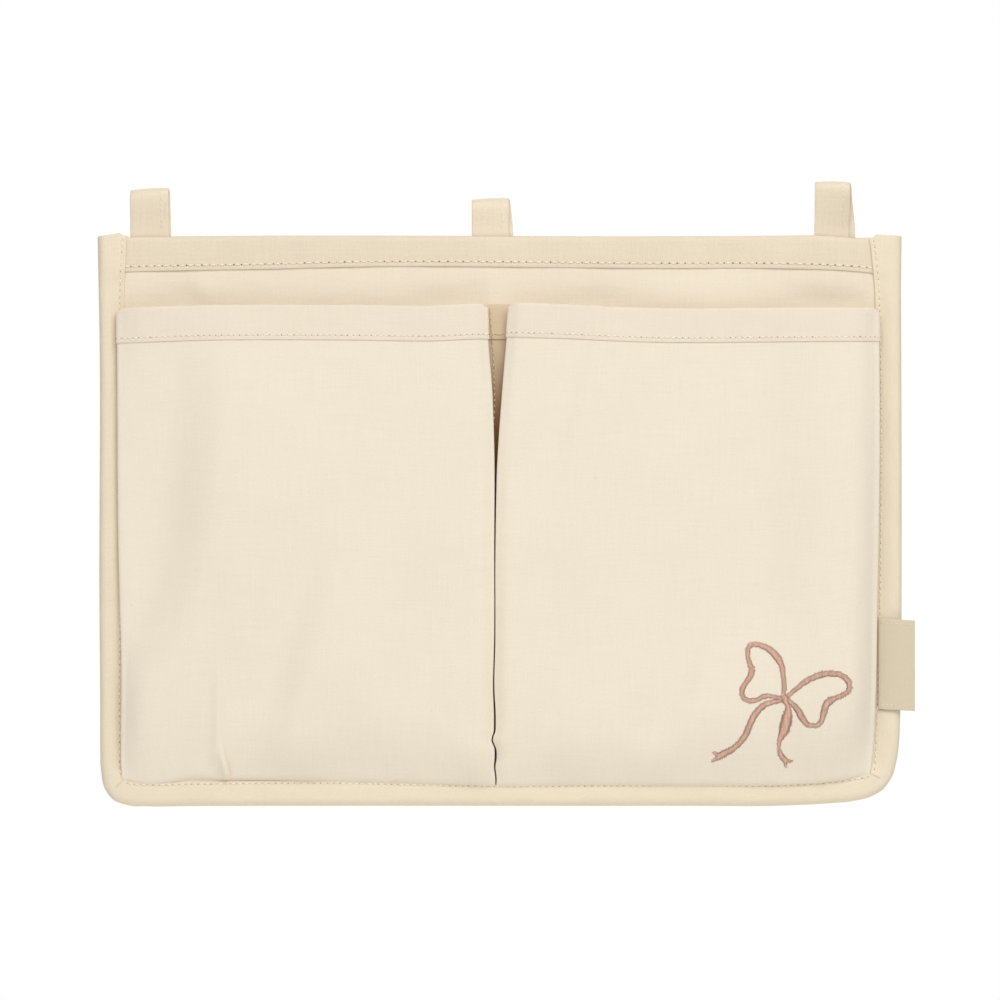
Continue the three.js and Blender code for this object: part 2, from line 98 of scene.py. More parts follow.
lens = bpy.data.cameras.new("studio_camera")
lens.sensor_width = FILM_WIDTH
lens.lens = FILM_WIDTH * CAMERA_DISTANCE / VIEW_WIDTH
lens.clip_end = FAR_LIMIT
camera = add_object("studio_camera", lens)
camera.location = (VIEW_CENTRE_X * MM, -CAMERA_DISTANCE * MM, VIEW_CENTRE_Z * MM)
camera.rotation_euler = (np.pi / 2, 0, 0)
scene.camera = camera
print(f"lens of {lens.lens:.0f} mm")

# %% [markdown]
# ## Node helpers
# The room, the floor and every finish are small networks of nodes. They could be joined by hand in the
# Shader Editor. In a script a few short helpers keep them readable: one adds a node and joins its sockets,
# and the others add a sum, a mix of two colours and a change of range. Colours are written as a screen
# shows them and turned into linear light.

# %% Nodes and colours
def linear(red, green, blue):
    share = np.array([red, green, blue]) / 255
    return (*np.where(share <= 0.04045, share / 12.92, ((share + 0.055) / 1.055) ** 2.4).tolist(), 1.0)


def wire(tree, kind, sockets, **settings):
    node = tree.nodes.new("ShaderNode" + kind)
    for key, value in settings.items():
        setattr(node, key, value)
    for key, value in sockets.items():
        if isinstance(value, bpy.types.NodeSocket):
            tree.links.new(value, node.inputs[key])
        else:
            node.inputs[key].default_value = value
    return node


def combine(tree, operation, first, second=0.5):
    return wire(tree, "Math", {0: first, 1: second}, operation=operation).outputs[0]


def mix(tree, share, first, second):
    return wire(tree, "Mix", {0: share, 6: first, 7: second}, data_type="RGBA").outputs[2]


def span(tree, value, low, high, bottom=0.0, top=1.0, kind="LINEAR"):
    sockets = {"Value": value, "From Min": low, "From Max": high, "To Min": bottom, "To Max": top}
    return wire(tree, "MapRange", sockets, interpolation_type=kind).outputs[0]


print("half grey on a screen is", round(linear(128, 128, 128)[0], 2), "in linear light")

# %% [markdown]
# ## Studio light
# White cloth on white paper is lit by one large soft lamp near the camera, a little to the right and above,
# a weaker one behind, and the pale room all round. The lamp could be a sun, but a sun has hard shadows.
# Together they give about as much light as a white sheet needs to look white, so a colour renders about as
# it is written. What the camera sees of the room is plain white.

# %% The lamps
LAMP_SIZE = 1.5
LAMPS = {"front_lamp": ((0.22, -1.5, 1.05), 24.2), "back_lamp": ((-0.4, 1.9, 0.8), 24.0)}

scene.view_settings.view_transform = "Standard"
for name, (place, power) in LAMPS.items():
    light = bpy.data.lights.new(name, "AREA")
    light.size = LAMP_SIZE
    light.energy = power
    lamp = add_object(name, light)
    lamp.location = place
    aim = lamp.location.copy()
    aim.z -= VIEW_CENTRE_Z * MM
    lamp.rotation_euler = aim.to_track_quat("Z", "Y").to_euler()
    print(f"{name}: {power} W")

# %% The white room
ROOM_LIGHT = 0.43
WHITE = (1, 1, 1, 1)

room = bpy.data.worlds.new("white_room")
room.use_nodes = True
scene.world = room
rays = wire(room.node_tree, "LightPath", {}).outputs
strength = ROOM_LIGHT
for ray in ("Is Camera Ray", "Is Glossy Ray", "Is Transmission Ray"):
    strength = combine(room.node_tree, "MAXIMUM", rays[ray], strength)
paper = room.node_tree.nodes["Background"]
paper.inputs["Color"].default_value = WHITE
room.node_tree.links.new(strength, paper.inputs["Strength"])
print("light from the room:", ROOM_LIGHT)

# %% [markdown]
# ## Floor
# The caddy hangs, so the floor is well below it and outside the picture. From other sides it shows: pale,
# with the caddy's soft shadow. A plain white plane would end in a hard line against the white room, so its
# colour gives way to white light towards the rim, by distance from the middle.

# %% The floor
FLOOR_DROP = 250.0
FLOOR_RADIUS = 1.3

round_floor = bmesh.new()
bmesh.ops.create_circle(round_floor, cap_ends=True, segments=96, radius=FLOOR_RADIUS)
floor_mesh = bpy.data.meshes.new("pale_floor")
round_floor.to_mesh(floor_mesh)
round_floor.free()
floor = add_object("pale_floor", floor_mesh)
floor.location.z = (BOTTOM - FLOOR_DROP) * MM
print(f"floor {FLOOR_DROP:.0f} mm below the caddy")

# %% The floor's paint
FLOOR_COLOUR = (0.92, 0.92, 0.91, 1)
FADE_START, FADE_END = 0.15, 0.97 * FLOOR_RADIUS
LEAST_WHITE = 0.45


def new_finish(name, roughness, specular, sheen):
    finish = bpy.data.materials.new(name)
    finish.use_nodes = True
    shader = finish.node_tree.nodes["Principled BSDF"]
    sockets = {"Roughness": roughness, "Specular IOR Level": specular, "Sheen Weight": sheen}
    for socket, value in sockets.items():
        shader.inputs[socket].default_value = value
    return finish, finish.node_tree, shader


floor_paint, tree, matt = new_finish("pale_floor_paint", 1.0, 0.5, 0.0)
matt.inputs["Base Color"].default_value = FLOOR_COLOUR
on_floor = wire(tree, "TexCoord", {}).outputs["Object"]
from_middle = wire(tree, "VectorMath", {0: on_floor}, operation="LENGTH").outputs["Value"]
fade = span(tree, from_middle, FADE_START, FADE_END, bottom=LEAST_WHITE, kind="SMOOTHSTEP")
seen = wire(tree, "LightPath", {}).outputs["Is Camera Ray"]
white = wire(tree, "Emission", {"Color": WHITE, "Strength": 1.0})
both = {0: combine(tree, "MULTIPLY", fade, seen), 1: matt.outputs[0], 2: white.outputs[0]}
mixed = wire(tree, "MixShader", both)
tree.links.new(mixed.outputs[0], tree.nodes["Material Output"].inputs["Surface"])
floor_mesh.materials.append(floor_paint)
print("floor paint:", len(tree.nodes), "nodes")

# %% [markdown]
# ## Woven cloth
# Canvas, binding and tape are plain weaves: each thread goes over one and under the next. A picture of
# cloth could be wrapped on, but nodes keep the right scale at any distance. The UV map counts millimetres
# of cloth, so two sine waves of one thread's width make the little pillows of the weave, and stretched
# noise makes thick and thin threads. A wider noise gives the slight unevenness of undyed cotton, and rare
# specks are bits of seed husk.

# %% Noise and weave
CLOTH_UV = "cloth_mm"
CANVAS_THREAD = 0.55


def stretched_noise(tree, cloth, across, along, detail=2.0):
    scaled = wire(tree, "VectorMath", {0: cloth, 1: (across, along, 1.0)}, operation="MULTIPLY").outputs[0]
    return wire(tree, "TexNoise", {"Vector": scaled, "Scale": 1.0, "Detail": detail}).outputs[0]


def weave_relief(tree, cloth, thread):
    sides = wire(tree, "SeparateXYZ", {0: cloth}).outputs
    turns = [combine(tree, "MULTIPLY", side, np.pi / thread) for side in (sides[0], sides[1])]
    waves = [combine(tree, "SINE", turn) for turn in turns]
    return combine(tree, "ABSOLUTE", combine(tree, "MULTIPLY", *waves))


def dye(tree, shader, colour, height, strength, distance):
    bumps = wire(tree, "Bump", {"Strength": strength, "Distance": distance, "Height": height})
    tree.links.new(colour, shader.inputs["Base Color"])
    tree.links.new(bumps.outputs[0], shader.inputs["Normal"])


print(f"canvas: {10 / CANVAS_THREAD:.0f} threads in 10 mm")

# %% How woven cloth is coloured
CLOUDS_A_MM, FUZZ_A_MM, HUSKS_A_MM = 0.03, 0.9, 0.6
HUSK_TINT = (0.78, 0.7, 0.6)
HUSK_STRENGTH = 0.35


def woven_colour(tree, cloth, colour, slubs, uneven):
    cloud = stretched_noise(tree, cloth, CLOUDS_A_MM, CLOUDS_A_MM, 3.0)
    fuzz = stretched_noise(tree, cloth, FUZZ_A_MM, FUZZ_A_MM, 3.0)
    wide = combine(tree, "MULTIPLY", combine(tree, "ADD", slubs, cloud), 0.5)
    shade = span(tree, combine(tree, "ADD", wide, fuzz), 0.9, 1.6)
    deep, pale = (linear(*(np.array(colour) * (1 + side * uneven))) for side in (-1, 1))
    ground = mix(tree, shade, deep, pale)
    husk = span(tree, stretched_noise(tree, cloth, HUSKS_A_MM, HUSKS_A_MM), 0.74, 0.8, top=HUSK_STRENGTH)
    return mix(tree, husk, ground, linear(*(np.array(colour) * HUSK_TINT)))


# Painted shade: the colour turns to a brown shade colour towards the foot of the cloth.
def painted_shade_foot(tree, cloth, coloured, shade_colour, low, high):
    along = wire(tree, "SeparateXYZ", {0: cloth}).outputs[1]
    return mix(tree, span(tree, along, low, high, kind="SMOOTHSTEP"), linear(*shade_colour), coloured)


print(f"clouds of about {1 / CLOUDS_A_MM:.0f} mm, fuzz of about {1 / FUZZ_A_MM:.0f} mm")

# %% Finishes for cloth
CLOTH_ROUGHNESS, CLOTH_SPECULAR = 0.9, 0.25
SLUBS_A_MM, SLUB_HEIGHT = 0.04, 0.35
CLOTH_BUMP = 0.00012


def woven_finish(name, colour, thread=CANVAS_THREAD, uneven=0.014, relief=0.3, sheen=0.1, foot=None):
    finish, tree, shader = new_finish(name, CLOTH_ROUGHNESS, CLOTH_SPECULAR, sheen)
    cloth = wire(tree, "UVMap", {}, uv_map=CLOTH_UV).outputs[0]
    warp = stretched_noise(tree, cloth, 0.5 / thread, SLUBS_A_MM)
    weft = stretched_noise(tree, cloth, SLUBS_A_MM, 0.5 / thread)
    slubs = combine(tree, "ADD", warp, weft)
    coloured = woven_colour(tree, cloth, colour, slubs, uneven)
    # foot is painted shade: the colour turns browner towards the foot of the cloth.
    if foot:
        coloured = painted_shade_foot(tree, cloth, coloured, *foot)
    thick = combine(tree, "MULTIPLY", slubs, SLUB_HEIGHT)
    height = combine(tree, "ADD", weave_relief(tree, cloth, thread), thick)
    dye(tree, shader, coloured, height, relief, CLOTH_BUMP)
    return finish


panel_canvas = woven_finish("panel_canvas", (234, 219, 195), uneven=0.022)
face_canvas = woven_finish("face_canvas", (242, 229, 206), uneven=0.018)
pocket_canvas = woven_finish("pocket_canvas", (241, 230, 210), uneven=0.015)
band_canvas = woven_finish("band_canvas", (239, 226, 206), uneven=0.015)
# Strip and gap canvas: painted shade, darker and warmer than the rest of the same canvas; the gap canvas also
# turns to a painted brown shade towards the strip's foot.
strip_canvas_painted_shade = woven_finish("strip_canvas_painted_shade", (220, 199, 168), uneven=0.015)
gap_canvas_painted_shade = woven_finish("gap_canvas_painted_shade", (220, 199, 168), uneven=0.015, foot=((146, 104, 66), 176, 240))
binding_canvas = woven_finish("binding_canvas", (239, 225, 199), 0.5, uneven=0.02)
loop_tape = woven_finish("loop_tape", (239, 224, 199), 0.6, uneven=0.02, relief=0.4)
label_tape = woven_finish("label_tape", (220, 206, 179), 0.35, relief=0.25, sheen=0.25)
wadding_fleece = woven_finish("wadding_fleece", (240, 236, 226), 2.5, uneven=0.05, relief=0.8, sheen=0.4)
print("canvas finish:", len(face_canvas.node_tree.nodes), "nodes")

# %% [markdown]
# ## Thread
# Sewing thread is two strands twisted together, a little smoother than the cloth, and in shade where it
# dives into it. A plain colour would hide that, so painted shade makes the colour run from dark to pale to
# dark along each stitch, by its own UV map, and a slanting wave makes the twist. The embroidery thread is
# the same in pink, and smoother still.

# %% How thread is coloured
PATCHES_A_METRE = 900.0


def thread_colour(tree, along, ends, middle, uneven, pale):
    # Painted shade: the ramp is dark at both ends of a stitch, where it dives into the cloth, and pale in its
    # middle.
    ramp = wire(tree, "ValToRGB", {0: along})
    ramp.color_ramp.interpolation = "EASE"
    for stop in ramp.color_ramp.elements:
        stop.color = linear(*ends)
    for place in (0.5 - pale, 0.5 + pale):
        ramp.color_ramp.elements.new(place).color = linear(*middle)
    where = wire(tree, "TexCoord", {}).outputs["Object"]
    patchy = stretched_noise(tree, where, PATCHES_A_METRE, PATCHES_A_METRE)
    value = combine(tree, "ADD", combine(tree, "MULTIPLY", patchy, uneven), 1 - uneven / 2)
    return wire(tree, "HueSaturation", {"Color": ramp.outputs[0], "Value": value}).outputs[0]


print(f"thread varies over about {1000 / PATCHES_A_METRE:.1f} mm")

# %% Finishes for thread
THREAD_RELIEF, THREAD_BUMP = 0.4, 0.00008


def thread_finish(name, ends, middle, roughness, twist, uneven=0.25, pale=0.2):
    finish, tree, shader = new_finish(name, roughness, 0.0, 0.0)
    stitch = wire(tree, "UVMap", {}, uv_map=CLOTH_UV).outputs[0]
    sides = wire(tree, "SeparateXYZ", {0: stitch}).outputs
    slant = combine(tree, "ADD", combine(tree, "MULTIPLY", sides[0], twist), sides[1])
    wave = combine(tree, "SINE", combine(tree, "MULTIPLY", slant, 2 * np.pi))
    colour = thread_colour(tree, sides[0], ends, middle, uneven, pale)
    dye(tree, shader, colour, wave, THREAD_RELIEF, THREAD_BUMP)
    return finish


cream_thread = thread_finish("cream_thread", (232, 216, 190), (252, 243, 225), 0.7, 4.0)
# Painted shade: the same cream thread, darker, for the stitches in the shaded gap between the pockets.
gap_thread_painted_shade = thread_finish("gap_thread_painted_shade", (186, 160, 126), (226, 206, 174), 0.7, 4.0)
hole_shade = thread_finish("needle_hole", (160, 132, 100), (160, 132, 100), 0.95, 0.0)
pink_thread = thread_finish("pink_thread", (152, 108, 90), (229, 191, 171), 0.6, 5.0, uneven=0.7, pale=0.12)
print("thread finish:", len(cream_thread.node_tree.nodes), "nodes")

# %% [markdown]
# ## Smooth lines and soft steps
# Cloth has no corners, so most edges here are smooth lines through a few measured stops. Blender's curves
# could carry them, but a Hermite line with slopes taken from the neighbouring stops is enough, and it works
# on whole arrays of numbers at once. Points are kept as arrays too, with x, y and z in the last place.

# %% Smooth lines
def soft_line(stops, values):
    stops, values = np.array(stops, float), np.array(values, float)
    slopes = np.gradient(values, stops)

    def at(query):
        query = np.clip(np.asarray(query, float), stops[0], stops[-1])
        i = np.clip(np.searchsorted(stops, query) - 1, 0, len(stops) - 2)
        width = stops[i + 1] - stops[i]
        t = (query - stops[i]) / width
        start = (1 + 2 * t) * (1 - t) ** 2 * values[i] + t * (1 - t) ** 2 * width * slopes[i]
        return start + t * t * (3 - 2 * t) * values[i + 1] + t * t * (t - 1) * width * slopes[i + 1]

    return at


def soft_step(low, high, value):
    t = np.clip((np.asarray(value, float) - low) / (high - low), 0, 1)
    return t * t * (3 - 2 * t)


def hump(value, centre, width):
    return np.exp(-(((np.asarray(value, float) - centre) / width) ** 2))


print("half way up a soft step:", soft_step(0, 10, 5))

# %% Points and lengths
def points_at(x, y, z):
    return np.stack(np.broadcast_arrays(x, y, z), -1)


def run_along(line):
    return np.concatenate([[0], np.cumsum(np.linalg.norm(np.diff(line, axis=0), axis=1))])


def spaced(stops, least):
    stops = np.unique(np.concatenate(stops))
    return stops[np.concatenate([[True], np.diff(stops) > least])]


def unit(vectors):
    return vectors / np.maximum(np.linalg.norm(vectors, axis=-1, keepdims=True), 1e-9)


print("length of a line up 3 and across 4:", run_along(np.array([[0, 0], [4, 3]]))[-1])

# %% [markdown]
# ## From a grid of points to a piece of cloth
# Every cloth piece starts as a grid of points on the middle of the cloth. Blender's Solidify could thicken
# it, but here two offset copies of the grid are joined by a rim, so that slits can be left open and the rim
# can be rounded as a folded edge is. Distances along the grid become the UV map, in millimetres of cloth.

# %% A mesh from points
def add_piece(name, points, faces, finish, uv):
    used = np.unique(np.concatenate([np.ravel(face) for face in faces]))
    place = np.zeros(len(points), int)
    place[used] = np.arange(len(used))
    mesh = bpy.data.meshes.new(name)
    corners = [row for face in faces for row in place[face].tolist()]
    mesh.from_pydata((np.asarray(points)[used] * MM).tolist(), [], corners)
    form = bmesh.new()
    form.from_mesh(mesh)
    bmesh.ops.recalc_face_normals(form, faces=form.faces)
    form.to_mesh(mesh)
    form.free()
    mesh.shade_smooth()
    vertex = np.empty(len(mesh.loops), np.int32)
    mesh.loops.foreach_get("vertex_index", vertex)
    layer = mesh.uv_layers.new(name=CLOTH_UV)
    layer.data.foreach_set("uv", np.asarray(uv)[used][vertex].astype(np.float32).ravel())
    mesh.materials.append(finish)
    return add_object(name, mesh)


print("each piece carries the UV map", CLOTH_UV)

# %% Two layers and a rim
def all_cells(grid):
    return np.ones((grid.shape[0] - 1, grid.shape[1] - 1), bool)


def grid_faces(keep):
    rows, columns = keep.shape[0] + 1, keep.shape[1] + 1
    ids = np.arange(rows * columns).reshape(rows, columns)
    quads = np.stack([ids[:-1, :-1], ids[:-1, 1:], ids[1:, 1:], ids[1:, :-1]], -1)[keep]
    beside = np.pad(keep, 1)
    along = beside[:-1, 1:-1] != beside[1:, 1:-1]
    across = beside[1:-1, :-1] != beside[1:-1, 1:]
    rims = (np.stack([ids[:, :-1][along], ids[:, 1:][along]], -1),
            np.stack([ids[:-1, :][across], ids[1:, :][across]], -1))
    other = rows * columns
    walls = [np.concatenate([rim, rim[:, ::-1] + other], axis=1) for rim in rims]
    return [quads, quads[:, ::-1] + other, *walls]


print("faces of a sheet of 2 by 3 cells:", sum(map(len, grid_faces(np.ones((2, 3), bool)))))

# %% Directions and distances
def normals_of(grid):
    return unit(np.cross(np.gradient(grid, axis=0), np.gradient(grid, axis=1)))


def turned_out(normals, sample):
    return -normals if sample[1] > 0 else normals


def cloth_distances(grid):
    across = np.cumsum(np.linalg.norm(np.diff(grid, axis=1, prepend=grid[:, :1]), axis=2), axis=1)
    along = np.cumsum(np.linalg.norm(np.diff(grid, axis=0, prepend=grid[:1]), axis=2), axis=0)
    return np.stack([across - across[:, [grid.shape[1] // 2]], along], -1)


square = points_at(np.arange(3.0), 0.0, np.arange(4.0)[:, None])
print("normal of a flat sheet:", normals_of(square)[0, 0].tolist())

# %% A rounded rim
RIM_TURNS = (85, 45)


def rounded_rim(grid, thickness):
    thick = np.full(grid.shape[:2], float(thickness))
    turns = np.radians(RIM_TURNS)
    slim = np.cos(turns)[:, None]
    reach = thickness / 2 * np.sin(turns)[:, None, None]
    for axis in (0, 1):
        grid, thick = np.moveaxis(grid, axis, 0), np.moveaxis(thick, axis, 0)
        before = grid[0] + unit(grid[0] - grid[1]) * reach
        after = grid[-1] + unit(grid[-1] - grid[-2]) * reach[::-1]
        grid = np.concatenate([before, grid, after])
        thick = np.concatenate([slim * thick[0], thick, slim[::-1] * thick[-1]])
        grid, thick = np.moveaxis(grid, 0, axis), np.moveaxis(thick, 0, axis)
    return grid, thick


print("a sheet of", square.shape[:2], "points with its rim:", rounded_rim(square, 1.0)[1].shape)

# %% Cloth from a grid
def add_cloth(name, grid, thickness, finish, keep=None):
    keep = all_cells(grid) if keep is None else keep
    grid, thick = rounded_rim(grid, thickness)
    half = normals_of(grid) * thick[..., None] / 2
    points = np.concatenate([(grid + half).reshape(-1, 3), (grid - half).reshape(-1, 3)])
    uv = cloth_distances(grid).reshape(-1, 2)
    faces = grid_faces(np.pad(keep, len(RIM_TURNS), mode="edge"))
    piece = add_piece(name, points, faces, finish, np.tile(uv, (2, 1)))
    cut = np.ptp(uv, axis=0)
    print(f"{name}: cut {cut[0]:.0f} by {cut[1]:.0f} mm, {len(piece.data.polygons)} faces")
    return piece, (float(cut[0]) * MM, float(cut[1]) * MM)


def dress(piece, body, slot, *nodes, bend=None):
    if bend:
        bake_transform(piece)
    else:
        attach(piece, body)
    if nodes:
        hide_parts(*nodes)


# %% [markdown]
# ## Stitches
# A stitch is a short length of thread that rises a little in its middle and goes down into the cloth at
# both ends, where the needle left a small hole in shade. A row could be a texture, but at the edge of the
# cloth it would look printed. So each stitch is a small arched tube, each hole a dark disc of painted shade,
# and all the tubes and holes of a row are one mesh. The same tubes later make the satin stitches of the bow.

# %% Tubes of thread
def rings_round(first, second, turn):
    return np.cos(turn)[None, :, None] * first[:, None] + np.sin(turn)[None, :, None] * second[:, None]


def thread_tubes(starts, ends, outs, radius, rise, sink, rings=7, sides=6):
    share = np.linspace(0, 1, rings)
    turn = 2 * np.pi * np.arange(sides) / sides
    outs = np.broadcast_to(outs, starts.shape)
    rise = np.broadcast_to(rise, len(starts))
    way = ends - starts
    lift = (np.sin(np.pi * share) ** 0.7)[None, :] * (rise + sink)[:, None] - sink
    centre = starts[:, None] + way[:, None] * share[None, :, None] + outs[:, None] * lift[..., None]
    wide = radius * (0.45 + 0.55 * np.sin(np.pi * share) ** 0.5)
    ring = rings_round(unit(np.cross(way, outs)), outs, turn)
    points = centre[:, :, None] + wide[None, :, None, None] * ring[:, None]
    ids = np.arange(len(starts) * rings * sides).reshape(len(starts), rings, sides)
    beside = np.roll(ids, -1, axis=2)
    quads = np.stack([ids[:, :-1], beside[:, :-1], beside[:, 1:], ids[:, 1:]], -1).reshape(-1, 4)
    uv = np.stack(np.broadcast_arrays(share[:, None], (turn / 2 / np.pi)[None, :]), -1)
    uv = np.tile(uv.reshape(-1, 2), (len(starts), 1))
    return points.reshape(-1, 3), [quads, ids[:, 0, ::-1], ids[:, -1]], uv


OUT_FRONT, OUT_BACK = np.array([0, -1.0, 0]), np.array([0, 1.0, 0])
sample = thread_tubes(np.zeros((1, 3)), np.array([[3.0, 0, 0]]), OUT_FRONT, 0.36, 0.2, 0.22)
print("one stitch:", len(sample[0]), "points")

# %% Needle holes
# A hole is a small dark disc on the cloth: painted shade of the pit the needle left.
HOLE_CORNERS = 6
HOLE_UP, HOLE_DOWN = 0.12, 0.3


def needle_holes(at, outs, size):
    way = unit(np.gradient(at, axis=0))
    turn = np.radians(np.arange(0, 360, 360 // HOLE_CORNERS))
    ring = rings_round(way, unit(np.cross(way, outs)), turn) * size[:, None, None]
    levels = [(at + outs * HOLE_UP)[:, None] + ring, (at - outs * HOLE_DOWN)[:, None] + ring]
    points = np.concatenate(levels, axis=1).reshape(-1, 3)
    ids = np.arange(len(points)).reshape(-1, 2 * HOLE_CORNERS)
    top, under = ids[:, :HOLE_CORNERS], ids[:, HOLE_CORNERS:]
    walls = np.stack([top, np.roll(top, -1, 1), np.roll(under, -1, 1), under], -1).reshape(-1, 4)
    return points, [top, under[:, ::-1], walls], np.full((len(points), 2), 0.5)


def gather(parts):
    points, faces, uv = [], [], []
    for part_points, part_faces, part_uv in parts:
        faces += [face + sum(map(len, points)) for face in part_faces]
        points.append(part_points)
        uv.append(part_uv)
    return np.concatenate(points), faces, np.concatenate(uv)


print("two stitches gathered:", len(gather([sample, sample])[0]), "points")

# %% Where the needle goes in
STITCH_JITTER = 0.06


def on_row(run, what, where):
    return np.stack([np.interp(where, run, what[:, axis]) for axis in range(3)], -1)


def needle_stops(length, pitch):
    count = max(2, round(length / pitch))
    stops = np.linspace(0, length, count + 1)
    shifts = np.random.default_rng(count).uniform(-STITCH_JITTER, STITCH_JITTER, count - 1)
    stops[1:-1] += shifts * pitch
    return stops


print("stops of the needle on 12 mm:", needle_stops(12.0, 3.0).round(2).tolist())

# %% Rows of stitches
STITCH_RISE, STITCH_SINK, STITCH_GAP = 0.2, 0.22, 0.18
HOLE_SIZES = (0.55, 1.15)


def sewn_row(line, out, pitch, thread, hole):
    outs, run = unit(np.broadcast_to(out, line.shape)), run_along(line)
    needle = needle_stops(run[-1], pitch)
    gap = STITCH_GAP * np.diff(needle)
    starts, ends = on_row(run, line, needle[:-1] + gap), on_row(run, line, needle[1:] - gap)
    upward = unit(on_row(run, outs, (needle[:-1] + needle[1:]) / 2))
    tubes = thread_tubes(starts, ends, upward, thread, STITCH_RISE, STITCH_SINK)
    sizes = hole * np.random.default_rng(len(needle)).uniform(*HOLE_SIZES, len(needle))
    return tubes, needle_holes(on_row(run, line, needle), unit(on_row(run, outs, needle)), sizes)


def add_stitches(name, rows, pitch, thread=0.36, hole=0.46, finish=cream_thread):
    tubes, holes = zip(*[sewn_row(line, out, pitch, thread, hole) for line, out in rows])
    points, faces, uv = gather(tubes + holes if hole else tubes)
    piece = add_piece(name, points, faces, finish, uv)
    piece.data.materials.append(hole_shade)
    of_thread = sum(len(face) for tube in tubes for face in tube[1])
    in_hole = np.arange(len(piece.data.polygons)) >= of_thread
    piece.data.polygons.foreach_set("material_index", in_hole.astype(np.int32))
    print(f"{name}: {sum(len(tube[1][1]) for tube in tubes)} stitches")
    return piece


print(f"a stitch fills {1 - 2 * STITCH_GAP:.0%} of its pitch")

# %% [markdown]
# ## The padded panel
# The panel is a face cloth and a back cloth with soft wadding between them, held flat where it is sewn. Its
# swelling could be drawn by hand, but real padding swells most where nothing holds it, and that is what a
# cloth simulation finds. So a flat cushion of the panel's outline is blown up a little while the sewn
# places stay pinned: the rim, the hem, the strip between the pockets and the sides under the pleats. How
# far a point may move is capped.

# %% The cushion's grid
PAD_LEFT, PAD_RIGHT, PAD_TOP, PAD_BOTTOM = -204.6, 205.0, TOP - 4.4, -311.6
PAD_HALF, RIM_THINNING, RIM_WIDTH = 1.95, 0.8, 6
HEM_ZONE_FOOT, ROUND_START, ROUND_HEIGHT = -46, -290, 21.6
LEFT_ROUND, RIGHT_ROUND = 17.0, 24.0
PAD_COLUMNS = 101

towards_foot = np.sin(np.linspace(0, np.pi / 2, 9))
pad_z = np.concatenate([np.linspace(PAD_TOP, HEM_ZONE_FOOT, 6)[:-1],
                        np.linspace(HEM_ZONE_FOOT, ROUND_START, 56)[:-1],
                        PAD_BOTTOM + ROUND_HEIGHT * (1 - towards_foot)])[:, None]


def rounded_side(side_x, inward, radius):
    up = np.clip(radius - (pad_z - PAD_BOTTOM), 0, radius)
    return side_x + inward * (radius - np.sqrt(radius**2 - up**2))


pad_left = rounded_side(PAD_LEFT, 1, LEFT_ROUND)
pad_right = rounded_side(PAD_RIGHT, -1, RIGHT_ROUND)
pad_x = pad_left + (pad_right - pad_left) * np.linspace(0, 1, PAD_COLUMNS)
pad_z = np.broadcast_to(pad_z, pad_x.shape)
from_rim = np.minimum.reduce([pad_x - pad_left, pad_right - pad_x, pad_z - PAD_BOTTOM])
pad_half = PAD_HALF - RIM_THINNING * (1 - soft_step(0, RIM_WIDTH, from_rim))
pad_front, pad_back = points_at(pad_x, -pad_half, pad_z), points_at(pad_x, pad_half, pad_z)
print("cushion grid:", pad_front.shape[:2], "points a side")

# %% Where the cushion is sewn
UNDER_PLEATS = 175
RIM_HELD, TOP_HELD, MOUTH_HELD = 3, 1, 3

rim = (from_rim < RIM_HELD) | (pad_z > PAD_TOP - TOP_HELD)
below_mouth = pad_z < MOUTH + MOUTH_HELD


def sewn_places(hem, side, foot, strip_x, strip_half):
    at_strip = below_mouth & (np.abs(pad_x - strip_x) < strip_half)
    return rim | (pad_z > hem) | (np.abs(pad_x) > side) | (pad_z < foot) | at_strip


sewn_front = sewn_places(hem=-37.5, side=192, foot=-299, strip_x=-2, strip_half=10)
sewn_front |= below_mouth & (np.abs(pad_x) > UNDER_PLEATS)
sewn_back = sewn_places(hem=-36.5, side=196, foot=-304, strip_x=-3, strip_half=2.5)
sewn = np.concatenate([sewn_front.ravel(), sewn_back.ravel()])
print(f"{sewn.mean():.0%} of the points are sewn")

# %% How the cushion swells
PRESSURE, STIFFNESS, STEPS = 4, 40, 20


def swell(front, back):
    points = np.concatenate([front.reshape(-1, 3), back.reshape(-1, 3)])
    cushion = add_piece("cushion", points, grid_faces(all_cells(front)), wadding_fleece, points[:, :2])
    held = cushion.vertex_groups.new(name="sewn")
    held.add(np.flatnonzero(sewn).tolist(), 1.0, "REPLACE")
    cloth = cushion.modifiers.new("swell", "CLOTH")
    cloth.settings.vertex_group_mass = "sewn"
    cloth.settings.use_pressure = True
    cloth.settings.uniform_pressure_force = PRESSURE
    cloth.settings.effector_weights.gravity = 0
    cloth.settings.tension_stiffness = STIFFNESS
    cloth.settings.compression_stiffness = STIFFNESS
    cloth.collision_settings.use_collision = False
    for number in range(1, STEPS + 1):
        scene.frame_set(number)
    shaped = cushion.evaluated_get(bpy.context.evaluated_depsgraph_get()).data
    moved = np.empty(len(points) * 3, np.float32)
    shaped.vertices.foreach_get("co", moved)
    moved = moved.reshape(-1, 3) / MM
    bpy.data.objects.remove(cushion)
    scene.frame_set(1)
    return moved - points


print(f"pressure {PRESSURE}, {STEPS} steps")

# %% Swell it
SWELL_LIMIT_FRONT, SWELL_LIMIT_BACK = 1.9, 2.4

swelling = swell(pad_front, pad_back)
limit = np.repeat([SWELL_LIMIT_FRONT, SWELL_LIMIT_BACK], pad_x.size)
out = np.abs(swelling[:, 1])
capped = limit * np.tanh(out / limit) * np.sign(swelling[:, 1])
front_swell, back_swell = capped.reshape(2, *pad_x.shape)
pad_front[..., 1] += front_swell
pad_back[..., 1] += back_swell
print(f"cushion swells up to {out.max():.1f} mm, held to {limit.max()} mm")

